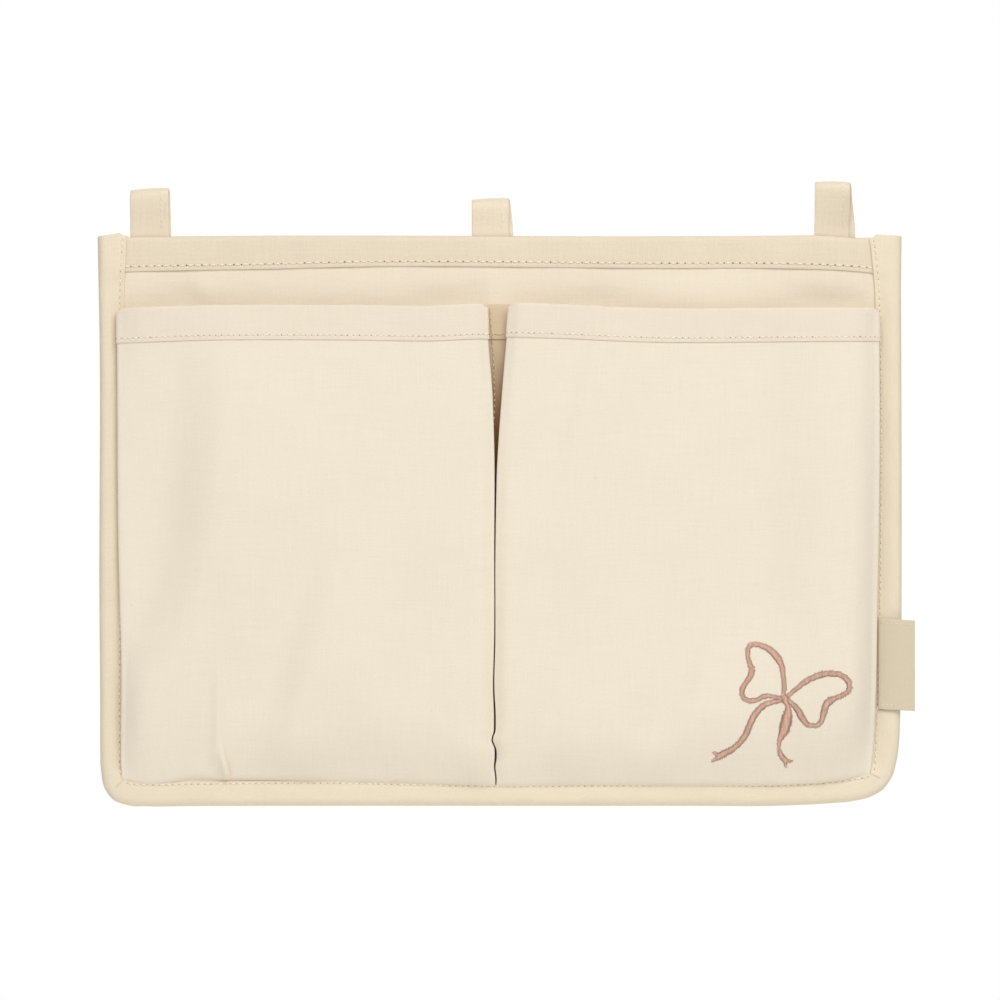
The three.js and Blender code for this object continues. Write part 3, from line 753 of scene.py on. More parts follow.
# %% [markdown]
# ## Wadding, face and back
# The wadding fills the cushion, with a notch at the top for the ends of each loop. The face and the back
# are one layer of canvas each and lie on it. They could be the cushion's own skin, but then the edge would
# show no layers. The face is drawn in a little above the pockets, where the corners of the pocket mouths
# pull at it, so a few shallow dents are pressed into it there.

# %% Dents in the face
DENTS_START, DENTS_FULL = -38, -42
LEAST_HALF = 0.9
DENTS = [
    # x, z, width, height, depth
    (-164, -51, 6, 6, 2.0), (-154, -47, 5, 6, -0.9), (-30, -52, 12, 5, 1.2), (-13, -50, 4, 6, 1.2),
    (50, -52, 14, 5, 1.2), (166, -52, 12, 5, 1.7), (182, -54, 8, 5, 1.2), (-4.5, -42, 3.0, 16, -0.7),
    (-120, -51, 12, 4, 0.4), (90, -47, 16, 6, -0.4)]

below_hem = soft_step(DENTS_START, DENTS_FULL, pad_z)
for dent_x, dent_z, wide, high, deep in DENTS:
    pressed = deep * below_hem * hump(pad_x, dent_x, wide) * hump(pad_z, dent_z, high)
    pad_front[..., 1] += np.minimum(pressed, -pad_front[..., 1] - LEAST_HALF)
print(len(DENTS), "dents")

# %% Wadding
LOOPS = {"left": dict(x=-183.1, half=9.6, lean=1.0, top=6.0, tilt=0.06, twist=-0.06, nod=0.09),
         "centre": dict(x=-4.7, half=9.2, lean=2.1, top=1.0, tilt=0.04, twist=0.08, nod=-0.13),
         "right": dict(x=174.0, half=8.55, lean=3.2, top=9.5, tilt=-0.035, twist=-0.3, nod=0.24)}
NOTCH_LEFT, NOTCH_RIGHT, NOTCH_DEPTH = 12.5, 15, 33

at_loop = np.zeros_like(pad_x, bool)
for loop in LOOPS.values():
    beside = pad_x - loop["x"]
    at_loop |= (beside > -NOTCH_LEFT) & (beside < NOTCH_RIGHT) & (pad_z > TOP - NOTCH_DEPTH)
notched = ~(at_loop[:-1, :-1] | at_loop[1:, :-1] | at_loop[:-1, 1:] | at_loop[1:, 1:])
pad_points = np.concatenate([pad_front.reshape(-1, 3), pad_back.reshape(-1, 3)])
wadding = add_piece("wadding_pad", pad_points, grid_faces(notched), wadding_fleece, pad_points[:, [0, 2]])
dress(wadding, "panel", "wadding", "wadding")
print("wadding:", len(wadding.data.polygons), "faces")

# %% Face and back cloth
CANVAS = 0.6

face_cloth, face_cut = add_cloth("face_cloth", pad_front + OUT_FRONT * CANVAS, CANVAS, face_canvas)
dress(face_cloth, "panel", "cream_canvas", "face_panel")
back_cloth, back_cut = add_cloth("back_cloth", pad_back + OUT_BACK * CANVAS, CANVAS, panel_canvas)
dress(back_cloth, "panel", "cream_canvas", "back_lining")

# %% [markdown]
# ## The edge binding
# A strip of canvas is folded over the edge of the panel, from the top left corner down, along the bottom
# and up to the top right. A bevelled curve would be the quick way, but this edge swells, narrows and has a
# folded mitre at each lower corner. So the strip is swept: at stations along the edge it has an outer and
# an inner point, and between them a profile with a full roll, a flat stitched part and a lip beyond the
# stitches.

# %% Where the binding runs
BINDING_STATIONS = np.array([
    # outer x, outer z, inner x, inner z
    (-210.0, -19.6, -194.8, -17.2), (-209.5, -47, -196.2, -47), (-209.1, -68, -196.4, -68),
    (-209.1, -209, -196.1, -209), (-208.7, -262, -196.4, -262), (-208.6, -290, -196.4, -290),
    (-208.3, -298, -196.4, -299.5), (-206.2, -308.3, -196.4, -302.2), (-201.9, -313.9, -195.6, -303.2),
    (-194.5, -316.6, -194.0, -304.3), (-186, -317.1, -186, -304.9), (-160, -317, -160, -304.6),
    (-100, -316.9, -100, -304), (0, -316.9, 0, -305.8), (100, -316.9, 100, -305.2),
    (147, -316.8, 147, -305.4), (172, -315.6, 172, -304), (186, -314.2, 186, -302.2),
    (194.5, -312, 191.8, -301), (200.5, -308.4, 193.4, -300.4), (204.8, -302.6, 194.1, -299.4),
    (207.3, -294.8, 194.2, -294.5), (208.7, -286, 194.6, -286), (209.4, -272, 195.2, -272),
    (210.1, -240, 196.2, -240), (210.2, -205, 196.8, -205), (210, -68, 196.8, -68),
    (209.9, -47, 196.3, -47), (210.2, -19.4, 193.4, -18.2)])
BEFORE_MITRES = (7, 19)

station_run = run_along((BINDING_STATIONS[:, :2] + BINDING_STATIONS[:, 2:]) / 2)
binding_course = [soft_line(station_run, BINDING_STATIONS[:, column]) for column in range(4)]
BINDING_RUN = station_run[-1]
MITRES = [(station_run[number] + station_run[number + 1]) / 2 for number in BEFORE_MITRES]
print(f"binding: {BINDING_RUN:.0f} mm long, mitres at {MITRES[0]:.0f} and {MITRES[1]:.0f} mm")

# %% How high the binding rolls
CROWN_HEIGHT, CROWN_LIFT, SEWN_HEIGHT, UNDER_LABEL = 4.5, 0.45, 3.5, 3.75
UNDER_HEM, AT_FOOT = (-43, -37), (-295, -301)
LABEL_TOP, LABEL_FOOT, LABEL_PRESS = -219.3, -266.2, 6


def binding_lift(z, front):
    at_top = soft_step(*UNDER_HEM, z)
    return np.maximum(at_top, soft_step(*AT_FOOT, z)) if front else at_top


def binding_crown(run, x, z, front):
    ripple = 0.16 * np.sin(run / 5.3) + 0.14 * np.sin(run / 8.7 + 1)
    crown = CROWN_HEIGHT + CROWN_LIFT * binding_lift(z, front) + ripple
    if front:
        above_foot = soft_step(LABEL_FOOT - LABEL_PRESS, LABEL_FOOT, z)
        pressed = above_foot * soft_step(LABEL_TOP + LABEL_PRESS, LABEL_TOP, z) * (x > 0)
        crown = crown - pressed * (crown - UNDER_LABEL)
    return crown


print(f"crown of the binding: {binding_crown(0.0, PAD_LEFT, -150.0, True):.1f} mm half way down")

# %% Its profile
BINDING_CLOTH = 0.8
ROLL = 4.0
BINDING_PITCH = 3.5
LIP, DIMPLE, DIMPLE_WIDTH = 0.3, 0.35, 1.3
MITRE_RIDGE, MITRE_GROOVE = 0.35, 0.8
INSET, INSET_LESS, INSET_ZONE = 2.3, 1.1, (-297, -304)


def stitch_inset(z):
    return INSET - INSET_LESS * soft_step(*INSET_ZONE, z)


def binding_height(run, depth, width, z, crown, front):
    base = SEWN_HEIGHT + binding_lift(z, front)
    stitched = width - stitch_inset(z)
    puff = np.cos(np.pi / 2 * np.clip((depth - ROLL) / (stitched - ROLL), 0, 1)) ** 2
    lip = LIP * np.clip((depth - stitched) / stitch_inset(z), 0, 1)
    pull = 0.7 + 0.3 * np.cos(2 * np.pi * run / BINDING_PITCH)
    height = base + (crown - base) * puff + lip - DIMPLE * hump(depth, stitched, DIMPLE_WIDTH) * pull
    inside = soft_step(0.3, 0.6, depth / width)
    for mitre in MITRES:
        ridge, groove = MITRE_RIDGE * hump(run, mitre + 1.6, 1.3), MITRE_GROOVE * hump(run, mitre, 0.55)
        height = height + inside * (ridge - groove)
    return height


print(f"stitches {stitch_inset(-150):.1f} mm inside the edge, {stitch_inset(-310):.1f} mm at the foot")

# %% Points on the binding
END_DROP, END_ZONE = 1.9, 7


def binding_width(run):
    outer_x, outer_z, inner_x, inner_z = (line(run) for line in binding_course)
    return np.hypot(inner_x - outer_x, inner_z - outer_z)


def binding_point(run, depth, front):
    outer_x, outer_z, inner_x, inner_z = (line(run) for line in binding_course)
    width = binding_width(run)
    crown = binding_crown(run, outer_x, outer_z, front)
    height = binding_height(run, np.minimum(depth, width), width, outer_z, crown, front)
    turn = np.arccos(np.clip(1 - depth / ROLL, -1, 1))
    height = np.where(depth < ROLL, crown * np.sin(turn) ** 0.75, height)
    from_end = np.minimum(run, BINDING_RUN - run)
    drop = END_DROP * soft_step(END_ZONE, 0, from_end) * soft_step(width - 4, width - 1.5, depth)
    t = depth / width
    x, z = outer_x + (inner_x - outer_x) * t, outer_z + (inner_z - outer_z) * t - drop
    return points_at(x, -height if front else height, z)


print(f"binding width: {binding_width(0.0):.1f} mm at its start, {binding_width(MITRES[0]):.1f} at a mitre")

# %% The binding
EDGE_LEFT_OVER = 0.4
STATION_STEP, LEAST_STEP = 1.75, 0.15

near_mitres = [mitre + np.linspace(-3, 3, 15) for mitre in MITRES]
even_run = np.arange(0, BINDING_RUN, STATION_STEP)
binding_run = spaced([even_run, [BINDING_RUN], *near_mitres], LEAST_STEP)[:, None]
roll_depths = ROLL * (1 - np.cos(np.linspace(0, np.pi / 2, 9)[:-1]))
flat_depths = ROLL + (binding_width(binding_run) - EDGE_LEFT_OVER - ROLL) * np.linspace(0, 1, 13)
roll_depths = np.broadcast_to(roll_depths, (len(binding_run), len(roll_depths)))
depths = np.concatenate([roll_depths, flat_depths], axis=1)
stations = np.broadcast_to(binding_run, depths.shape)
front_half, rear_half = (binding_point(stations, depths, front) for front in (True, False))
binding_grid = np.concatenate([front_half[:, ::-1], rear_half[:, 1:]], axis=1)
binding, binding_cut = add_cloth("edge_binding_cloth", binding_grid, BINDING_CLOTH, binding_canvas)
dress(binding, "panel", "canvas_binding", "edge_binding")

# %% Its stitches
stitch_run = np.linspace(2.2, BINDING_RUN - 2.2, 1200)
stitch_depth = binding_width(stitch_run) - stitch_inset(binding_course[1](stitch_run))
binding_rows = []
for front, out in ((True, OUT_FRONT), (False, OUT_BACK)):
    row = binding_point(stitch_run, stitch_depth, front)
    binding_rows.append((row + out * BINDING_CLOTH / 2, out))
binding_stitches = add_stitches("binding_stitches", binding_rows, 3.4, hole=0.28)
dress(binding_stitches, "panel", "cream_thread", "binding_thread")

# %% [markdown]
# ## The top hem
# The top edge is a band of canvas folded over the panel, with the loops coming up through it. A boolean
# could cut the three slits, but leaving out cells of the grid along the fold keeps the mesh clean. The
# lower edge isn't straight: it was turned by hand and drops towards both ends.

# %% Where the hem runs
HEM_CLOTH, HEM_HALF = 0.7, 3.45
HEM_END, HEM_TAPER = 208.2, 4.6
SLIT_ROOM = 0.75

hem_foot = soft_line([-206, -193.5, -120, -73, -5, 73.6, 152, 172, 187, 195, 206],
                     [-37.8, -37.4, -36, -34.8, -34.8, -35.6, -35.8, -36.4, -37.3, -38.1, -38.5])
hem_top = soft_line([-206, -193, -150, 150, 168, 187, 200, 206],
                    [-19.5, -19.2, -18.8, -18.6, -18.4, -19.7, -19.6, -19.6])
slits = [(loop["x"] - loop["half"] - SLIT_ROOM, loop["x"] + loop["half"] + loop["lean"] + SLIT_ROOM)
         for loop in LOOPS.values()]
hem_x = spaced([np.linspace(-HEM_END, HEM_END, 418), np.ravel(slits)], 0.3)
print("slits, mm:", [round(high - low, 1) for low, high in slits])

# %% Its profile
HEM_PITCH, HEM_STITCH_UP, HEM_DIMPLE_WIDTH = 4.15, 2.4, 1.3
REAR_DEPTH, REAR_SHIFT = 18, 40


def hem_ripple(x):
    return 0.12 * np.sin(x / 7.1) + 0.1 * np.sin(x / 12.7 + 2)


def hem_half(x):
    tip = np.clip((np.abs(x) - HEM_END + HEM_TAPER) / (HEM_TAPER + 0.6), 0, 1)
    return HEM_HALF * np.sqrt(1 - tip**2)


def hem_front(x, z):
    above = z - hem_foot(x)
    pull = 0.2 + 0.1 * np.cos(2 * np.pi * x / HEM_PITCH)
    dimple = pull * hump(above, HEM_STITCH_UP, HEM_DIMPLE_WIDTH)
    loose = -0.15 * (1 - soft_step(0, 1.8, above))
    return -(hem_half(x) + loose - dimple + hem_ripple(x) * soft_step(18, 6, above))


def hem_rear(x):
    return hem_half(x) + hem_ripple(x + REAR_SHIFT)


print(f"hem: {2 * hem_half(0.0):.1f} mm thick in the middle, {2 * hem_half(HEM_END):.1f} mm at its end")

# %% The hem's band
SQUARENESS = 0.65
SLIT_CELLS = (6, 12)

across = hem_x[:, None]
half = hem_half(across)
crest = hem_top(across) - HEM_CLOTH / 2 - half
legs = np.linspace(0, 1, 13)[:-1]
front_z = hem_foot(across) + (crest - hem_foot(across)) * legs
turn = np.radians(np.arange(0, 181, 10))
around, up = np.sign(np.cos(turn)) * np.abs(np.cos(turn)) ** SQUARENESS, np.sin(turn) ** SQUARENESS
rear_z = crest + (TOP - REAR_DEPTH - crest) * np.linspace(0, 1, 9)[1:]
hem_grid = np.concatenate([points_at(across, hem_front(across, front_z), front_z),
                           points_at(across, -half * around, crest + half * up),
                           points_at(across, hem_rear(across), rear_z)], axis=1)
keep = all_cells(hem_grid)
for low, high in slits:
    inside = (hem_x[:-1] >= low - 0.05) & (hem_x[1:] <= high + 0.05)
    keep[inside, len(legs) + SLIT_CELLS[0]:len(legs) + SLIT_CELLS[1]] = False
hem, hem_cut = add_cloth("top_hem_band", hem_grid, HEM_CLOTH, panel_canvas, keep)
dress(hem, "panel", "cream_canvas", "top_hem")

# %% Its stitches
row_x = np.linspace(-197, 196.5, 700)
row_z = hem_foot(row_x) + HEM_STITCH_UP
hem_row = points_at(row_x, hem_front(row_x, row_z) - HEM_CLOTH / 2, row_z)
rear_row = points_at(row_x, hem_rear(row_x) + HEM_CLOTH / 2, TOP - REAR_DEPTH + HEM_STITCH_UP)
hem_rows = [(hem_row, OUT_FRONT), (rear_row, OUT_BACK)]
hem_stitches = add_stitches("top_hem_stitches", hem_rows, HEM_PITCH, thread=0.46)
dress(hem_stitches, "panel", "cream_thread", "top_hem_thread")

# %% [markdown]
# ## The hanging loops
# Each loop is a length of thick tape whose two ends are sewn in behind the hem. The tape was set a little
# askew, so its rear leg leans to the right and shows beside the front leg. A bent curve with a flat bevel
# would do, but a grid along the tape lets the rear leg lean and the top tilt.

# %% The tape's course
TAPE = 1.1
TAIL_FOOT = TOP - 30
BEND = -16.6
CROWN = 4.2
LEG_HALF = 0.7


def loop_course(loop):
    crown_z = loop["top"] - TAPE / 2 - CROWN
    z = np.concatenate([np.linspace(TAIL_FOOT, BEND, 12)[:-1], np.linspace(BEND, crown_z, 12)[:-1]])
    y = LEG_HALF + (CROWN - LEG_HALF) * soft_step(BEND - 1, crown_z + 1.5, z)
    turn = np.linspace(0, np.pi, 15)
    course_y = np.concatenate([-y, -CROWN * np.cos(turn), y[::-1]])
    course_z = np.concatenate([z, crown_z + CROWN * np.sin(turn), z[::-1]])
    rear = soft_step(0.45, 0.62, np.linspace(0, 1, len(course_y)))
    lean = loop["lean"] * rear * (0.35 + 0.65 * soft_step(crown_z + CROWN, BEND - 2, course_z))
    return course_y[:, None], course_z[:, None], lean[:, None]


def loop_grid(loop):
    y, z, lean = loop_course(loop)
    across = np.linspace(-1, 1, 9) * loop["half"]
    above = soft_step(BEND, loop["top"], z)
    dish = 0.35 * above * (across / loop["half"]) ** 2
    nod = loop["nod"] * np.clip(z - BEND, 0, None)
    twisted = y - nod + above * loop["twist"] * across
    tilted = z + above * loop["tilt"] * across
    return points_at(loop["x"] + across + lean, twisted, tilted - dish)


print("points on a loop:", loop_grid(LOOPS["left"]).shape[:2])

# %% Tape loops
LOOP_BEND = {"start": (0, 0, -18.3 * MM), "end": (0, 0, -14.9 * MM)}
FRONT_LEG, SEWN_IN = 14, 12

for name, loop in LOOPS.items():
    grid = loop_grid(loop)
    tape, tape_cut = add_cloth(f"{name}_tape_loop", grid, TAPE, loop_tape)
    dress(tape, f"{name}_loop", "cotton_tape", f"{name}_loop", f"{name}_loop_tail", bend=LOOP_BEND)
    normals = normals_of(grid)
    outward = turned_out(normals, normals[FRONT_LEG, 4])[SEWN_IN:-SEWN_IN]
    surface = grid[SEWN_IN:-SEWN_IN] + outward * TAPE / 2
    row = surface[:, 7] * 0.6 + surface[:, 6] * 0.4
    stitches = add_stitches(f"{name}_loop_stitches", [(row, outward[:, 7])], 3.0, thread=0.26, hole=0)
    dress(stitches, f"{name}_loop", "cream_thread", bend=LOOP_BEND)

# %% [markdown]
# ## The strip between the pockets
# The two pockets are one length of cloth, sewn down to the panel between them. That sewn strip shows where
# the pockets part at the top, with its own hem and a row of stitches that leans a little. It lies flat, so
# a plain grid is enough. Towards its foot the pockets close over it and light comes in only from cloth to
# cloth, which warms it. A render keeps too little of that, so shade is painted in: the strip, its hem and
# its stitches are painted darker and warmer, and the strip's finish is painted browner towards its foot.

# %% The strip
STRIP_LEFT, STRIP_RIGHT = -9.0, 5.0
STRIP_Y, STRIP_BAND_Y = -3.55, -4.4
STRIP_CLOTH, STRIP_BAND_CLOTH = 0.7, 0.6
STRIP_BAND_DEPTH = 17

strip_x = np.linspace(STRIP_LEFT, STRIP_RIGHT, 8)
strip_z = np.linspace(SEAM + 1.2, MOUTH, 90)[:, None]
strip, strip_cut = add_cloth("centre_strip", points_at(strip_x, STRIP_Y, strip_z), STRIP_CLOTH, gap_canvas_painted_shade)
dress(strip, "panel", "cream_canvas", "pocket_centre_strip")
over_z = MOUTH + 0.7 * np.sin(np.linspace(0.3, 1.5, 5))
band_z = np.concatenate([np.linspace(MOUTH - STRIP_BAND_DEPTH, MOUTH, 8), over_z])[:, None]
band_y = np.concatenate([np.full(8, STRIP_BAND_Y), np.linspace(-4.3, -3.6, 5)])[:, None]
strip_band_grid = points_at(strip_x, band_y, band_z)
strip_band, band_cut = add_cloth("centre_strip_hem", strip_band_grid, STRIP_BAND_CLOTH, strip_canvas_painted_shade)
dress(strip_band, "panel", "cream_canvas")

# %% Its stitches
ON_STRIP, ON_BAND = -3.9, -4.7
strip_line = soft_line([SEAM, -150, -128, -110, -91.6, -56], [-4.4, -4.4, -4.0, -2.6, -2.9, -5.3])

on_strip_z, on_band_z = np.linspace(SEAM + 3, MOUTH - 18.5, 200), np.linspace(MOUTH - 16.5, MOUTH - 1.5, 20)
line_z = np.concatenate([on_strip_z, on_band_z])
line_y = np.where(line_z > MOUTH - 17.5, ON_BAND, ON_STRIP)
strip_row = points_at(strip_line(line_z), line_y, line_z)
band_row = points_at(np.linspace(STRIP_LEFT + 0.5, STRIP_RIGHT - 0.5, 20), ON_BAND, MOUTH - 14.7)
strip_rows = [(strip_row, OUT_FRONT), (band_row, OUT_FRONT)]
# Their thread is painted darker: painted shade in the gap between the pockets.
strip_stitches = add_stitches("centre_strip_stitches", strip_rows, 3.1, thread=0.42, hole=0.3,
                              finish=gap_thread_painted_shade)
dress(strip_stitches, "panel", "cream_thread", "centre_seam_thread")

# %% [markdown]
# ## The pockets
# Each pocket is one cloth: sewn to the panel at its side, folded in as a pleat, out to the pocket's edge,
# across the front, and back through a second pleat to the strip. At the bottom it is caught under the
# binding. It could be modelled as a front plus four strips, but one grid keeps the cloth whole round the
# edges. Each row of the grid is one level of the pocket, and each column one thread that runs from the seam
# up to the mouth.

# %% The pockets' side edges
OUTER_EDGE = {
    LEFT: soft_line([-3, 0, 5, 11.5, 24, 53, 95, 127, 200, 250],
                    [-196.2, -197.0, -197.6, -197.8, -197.7, -197.4, -198.4, -199.1, -199.6, -199.7]),
    RIGHT: soft_line([-3, 0, 5, 11.5, 43, 95, 127, 226, 250],
                     [193.2, 193.8, 194.4, 195.0, 196.4, 197.4, 198.0, 198.4, 198.0])}
INNER_EDGE = {
    LEFT: soft_line([-3, 0, 5, 10, 15, 20, 24, 28, 35, 50, 75, 120, 179, 205, 232, 250],
                    [-2.3, -2.3, -2.2, -2.9, -2.5, -2.7, -4.3, -3.2, -2.9, -3.4, -2.9, -2.9, -2.95, -3.9,
                     -6.0, -6.6]),
    RIGHT: soft_line([-3, 0, 5, 10, 15, 20, 24, 28, 35, 50, 75, 120, 150, 165, 179, 205, 232, 250],
                     [-1.6, -1.6, -1.6, -2.2, -1.4, -1.8, -3.5, -2.2, -1.9, -2.6, -2.1, -2.0, -1.5, -1.1,
                      -0.3, 1.6, 3.9, 5.3])}
widths = [abs(OUTER_EDGE[side](250) - INNER_EDGE[side](250)) for side in (LEFT, RIGHT)]
print("pocket widths at the mouth, mm:", [round(width, 1) for width in widths])

# %% The pockets' mouths and seam
MOUTH_LINE = {LEFT: soft_line([-202, -196.7, -170, -140, -75, -31, -11, -6],
                              [-58.1, -57.8, -56.7, -56.1, -56.1, -56.4, -55.4, -55.4]),
              RIGHT: soft_line([5, 29.6, 73.6, 150, 200], [-54.9, -55.6, -57.6, -57.6, -57.7])}
MOUTH_STAND = {LEFT: soft_line([-201, -162, -135, -60, -25, -4], [0.85, 1.0, 0.78, 0.78, 1.0, 0.9]),
               RIGHT: soft_line([3, 30, 46, 62, 85, 140, 156, 185, 200],
                                [0.9, 0.96, 1, 0.96, 0.78, 0.78, 0.96, 1, 0.9])}
SEAM_LINE = soft_line([-196, -187, -175, -165, -144, -105, -20, 6.5, 21, 147, 161.5, 183.5, 191],
                      [-303.6, -305.7, -305.2, -303.2, -303.2, -303.6, -306, -307, -306.6, -305.6, -304.9,
                       -302.4, -301])
print(f"left pocket's height at x = -100: {MOUTH_LINE[LEFT](-100) - SEAM_LINE(-100):.1f} mm")

# %% [markdown]
# ## Folds and tucks
# Loose cloth falls in long soft folds, gathers in short tucks at its seam and sags a little above it. A
# simulation would find folds of its own, and Sculpt Mode would leave no recipe. Here each fold has a line
# that it follows, a width, a height and the levels between which it shows, so it lies where the photograph
# has it. A fold is a step that rises on one side of its line and fades away on the other. A tuck is a sharp
# little ridge that starts at the seam.

# %% Folds in the pocket fronts
FOLDS = {
    # line of the fold, width, height, levels where it starts, is full, begins to fade and ends
    LEFT: [(soft_line([20, 40, 93, 171, 239], [-184, -178, -157, -144, -136]), 32, 8.6, (30, 95, 140, 300)),
           (soft_line([10, 19, 98, 120], [-109, -107, -86, -80]), 20, 5.0, (-10, 50, 60, 150)),
           (soft_line([5, 9, 56, 70], [-148.5, -148, -146, -145]), 5, 1.3, (4, 12, 40, 66))],
    RIGHT: [(soft_line([150, 187, 242, 250], [36, 42, 58, 60]), 11, 2.4, (140, 185, 200, 285)),
            (soft_line([20, 119, 234, 250], [178, 176, 174, 173]), 42, 8.6, (10, 80, 140, 300)),
            (soft_line([20, 30, 72, 90], [34, 37, 58, 66]), 12, 2.6, (-5, 45, 50, 120)),
            (soft_line([15, 25, 66, 90], [91, 94.5, 110, 118]), 12, 2.4, (-5, 42, 48, 115))]}
BELOW_AND_ABOVE = 0.55


def fold_steps(x, h, side):
    height = np.zeros(np.broadcast(x, h).shape)
    for line, wide, high, (foot, full, top, end) in FOLDS[side]:
        shown = soft_step(foot, full, h) * soft_step(end, top, h)
        beside = x - line(h)
        step = soft_step(-wide, 0, beside) - BELOW_AND_ABOVE
        height = height + high * shown * step * soft_step(4.5 * wide, 0.5 * wide, np.abs(beside + 0.5 * wide))
    return height


print("folds:", len(FOLDS[LEFT]), "on the left,", len(FOLDS[RIGHT]), "on the right")

# %% Tucks at the seam
TUCKS = {
    # line of the crest, width, height, how far up it reaches
    LEFT: [(soft_line([0, 4.6, 14.5, 30, 60], [-142.4, -142.9, -145.5, -148.5, -152]), 2.6, 2.1, 8),
           (soft_line([0, 20], [-97, -91]), 3.4, 0.5, 4), (soft_line([0, 20], [-71, -61]), 3.4, 0.6, 5),
           (soft_line([0, 20], [-54, -40]), 3.4, 0.6, 5)],
    RIGHT: [(soft_line([0, 20], [143.5, 139.5]), 3.2, 0.7, 5), (soft_line([0, 20], [108, 114]), 3.6, 0.5, 5),
            (soft_line([0, 20], [62, 70]), 3.6, 0.4, 5), (soft_line([0, 20], [170, 166]), 3.4, 0.5, 5)]}


def tuck_ridges(x, h, side):
    height = np.zeros(np.broadcast(x, h).shape)
    for crest, wide, high, tall in TUCKS[side]:
        beside = x - crest(h)
        tuck = np.where(beside < 0, hump(beside, 0, wide), hump(beside, 0, 0.4 * wide))
        tuck = tuck - 0.5 * hump(beside, 0.6 * wide, 0.3 * wide)
        height = height + high * tuck * hump(h, 0.7 * tall, tall) * soft_step(0, 2, h)
    return height


print("tucks:", len(TUCKS[LEFT]), "on the left,", len(TUCKS[RIGHT]), "on the right")

# %% How the foot of a pocket swells
BOTTOM_ROUND = 30.0
FOOT_SAG, FOOT_SAG_RIGHT = 1.7, 3.6
LEFT_HOLLOW, WAVE = 2.0, 0.35


def foot_rounding(x, side):
    wavy = 1.15 + 0.2 * np.sin(x / 17 + side) + 0.12 * np.sin(x / 7.3)
    return BOTTOM_ROUND * wavy * (0.92 + 0.3 * soft_step(70, 185, np.abs(x)))


def loose_cloth(x, h, side):
    hollow = LEFT_HOLLOW * soft_step(-130, -172, x) * soft_step(30, 90, h) * soft_step(290, 150, h)
    sag = (FOOT_SAG + FOOT_SAG_RIGHT * soft_step(70, 150, x)) * hump(h, 46, 30)
    wave = WAVE * np.sin(x / 23 + 1.1 * side) * np.sin(h / 41 + 0.7) * soft_step(8, 60, h)
    return fold_steps(x, h, side) - hollow + sag + wave


def seam_roll(x, h):
    up = np.clip(h, 0, None)
    return (0.8 + 0.4 * np.sin(x / 21 + 2)) * (1 - np.exp(-up / 1.6)) * np.exp(-up / 18)


print(f"loose cloth stands {loose_cloth(np.array(-150.0), 100.0, LEFT):.1f} mm out on the left pocket's fold")

# %% How far a pocket stands out
POCKET_DEPTH, POCKET_EDGE = 10.5, 5.5
SEWN_STAND = 0.75
OUTER_ROUND, INNER_ROUND = 16.0, {LEFT: 9.0, RIGHT: 7.0}
EDGE_FILLS = {LEFT: (10, 130), RIGHT: (60, 220)}


def risen(t):
    return np.sin(np.pi / 2 * np.clip(t, 0, 1))


def pocket_stand(x, h, outer, inner, side):
    near_outer = risen(np.abs(x - outer) / OUTER_ROUND) ** 0.9
    near_inner = risen(np.abs(x - inner) / INNER_ROUND[side]) ** 0.8
    outer_edge = POCKET_EDGE * (0.55 + 0.3 * soft_step(*EDGE_FILLS[side], h))
    depth = np.minimum(outer_edge + (POCKET_DEPTH - outer_edge) * near_outer,
                       POCKET_EDGE + (POCKET_DEPTH - POCKET_EDGE) * near_inner)
    rise = risen(h / foot_rounding(x, side)) ** 0.8
    at_mouth = 1 + (MOUTH_STAND[side](x) - 1) * soft_step(150, 249, h)
    loose = near_outer * near_inner * loose_cloth(x, h, side)
    return SEWN_STAND + depth * rise * at_mouth + loose + seam_roll(x, h) + tuck_ridges(x, h, side)


print("pocket depth:", POCKET_DEPTH, "mm")

# %% Points on a pocket
CORNER_DROP, CORNER_WIDTH, CORNER_HEIGHT = 1.7, 3.2, 8
SEAM_DROP, SEAM_DROP_RIGHT = 0.9, 1.1


def pocket_level(x, h, side):
    from_outer = np.abs(x - OUTER_EDGE[side](POCKET_HEIGHT))
    from_end = np.minimum(from_outer, np.abs(x - INNER_EDGE[side](POCKET_HEIGHT)))
    at_mouth = soft_step(POCKET_HEIGHT - CORNER_HEIGHT, POCKET_HEIGHT, h)
    corner = CORNER_DROP * soft_step(CORNER_WIDTH, 0, from_end) * at_mouth
    at_right = soft_step(120, 150, x) * soft_step(190, 178, x)
    rolled = (SEAM_DROP + SEAM_DROP_RIGHT * at_right) * hump(h, 2.2, 2.0)
    return SEAM_LINE(x) + (MOUTH_LINE[side](x) - SEAM_LINE(x)) * h / POCKET_HEIGHT - corner - rolled


def pocket_point(x, h, side):
    stand = pocket_stand(x, h, OUTER_EDGE[side](h), INNER_EDGE[side](h), side)
    return points_at(x, -FACE - stand, pocket_level(x, h, side))


middle = pocket_point(np.array(-100.0), 120.0, LEFT)
print("middle of the left pocket, mm:", middle.round(1).tolist())

# %% A pocket's rolled edge
ROLL_START, ROLL_END, ROLL_OVER, ROLL_THICK = 2.6, 2.0, 0.6, 1.9
FAR_AWAY = 400


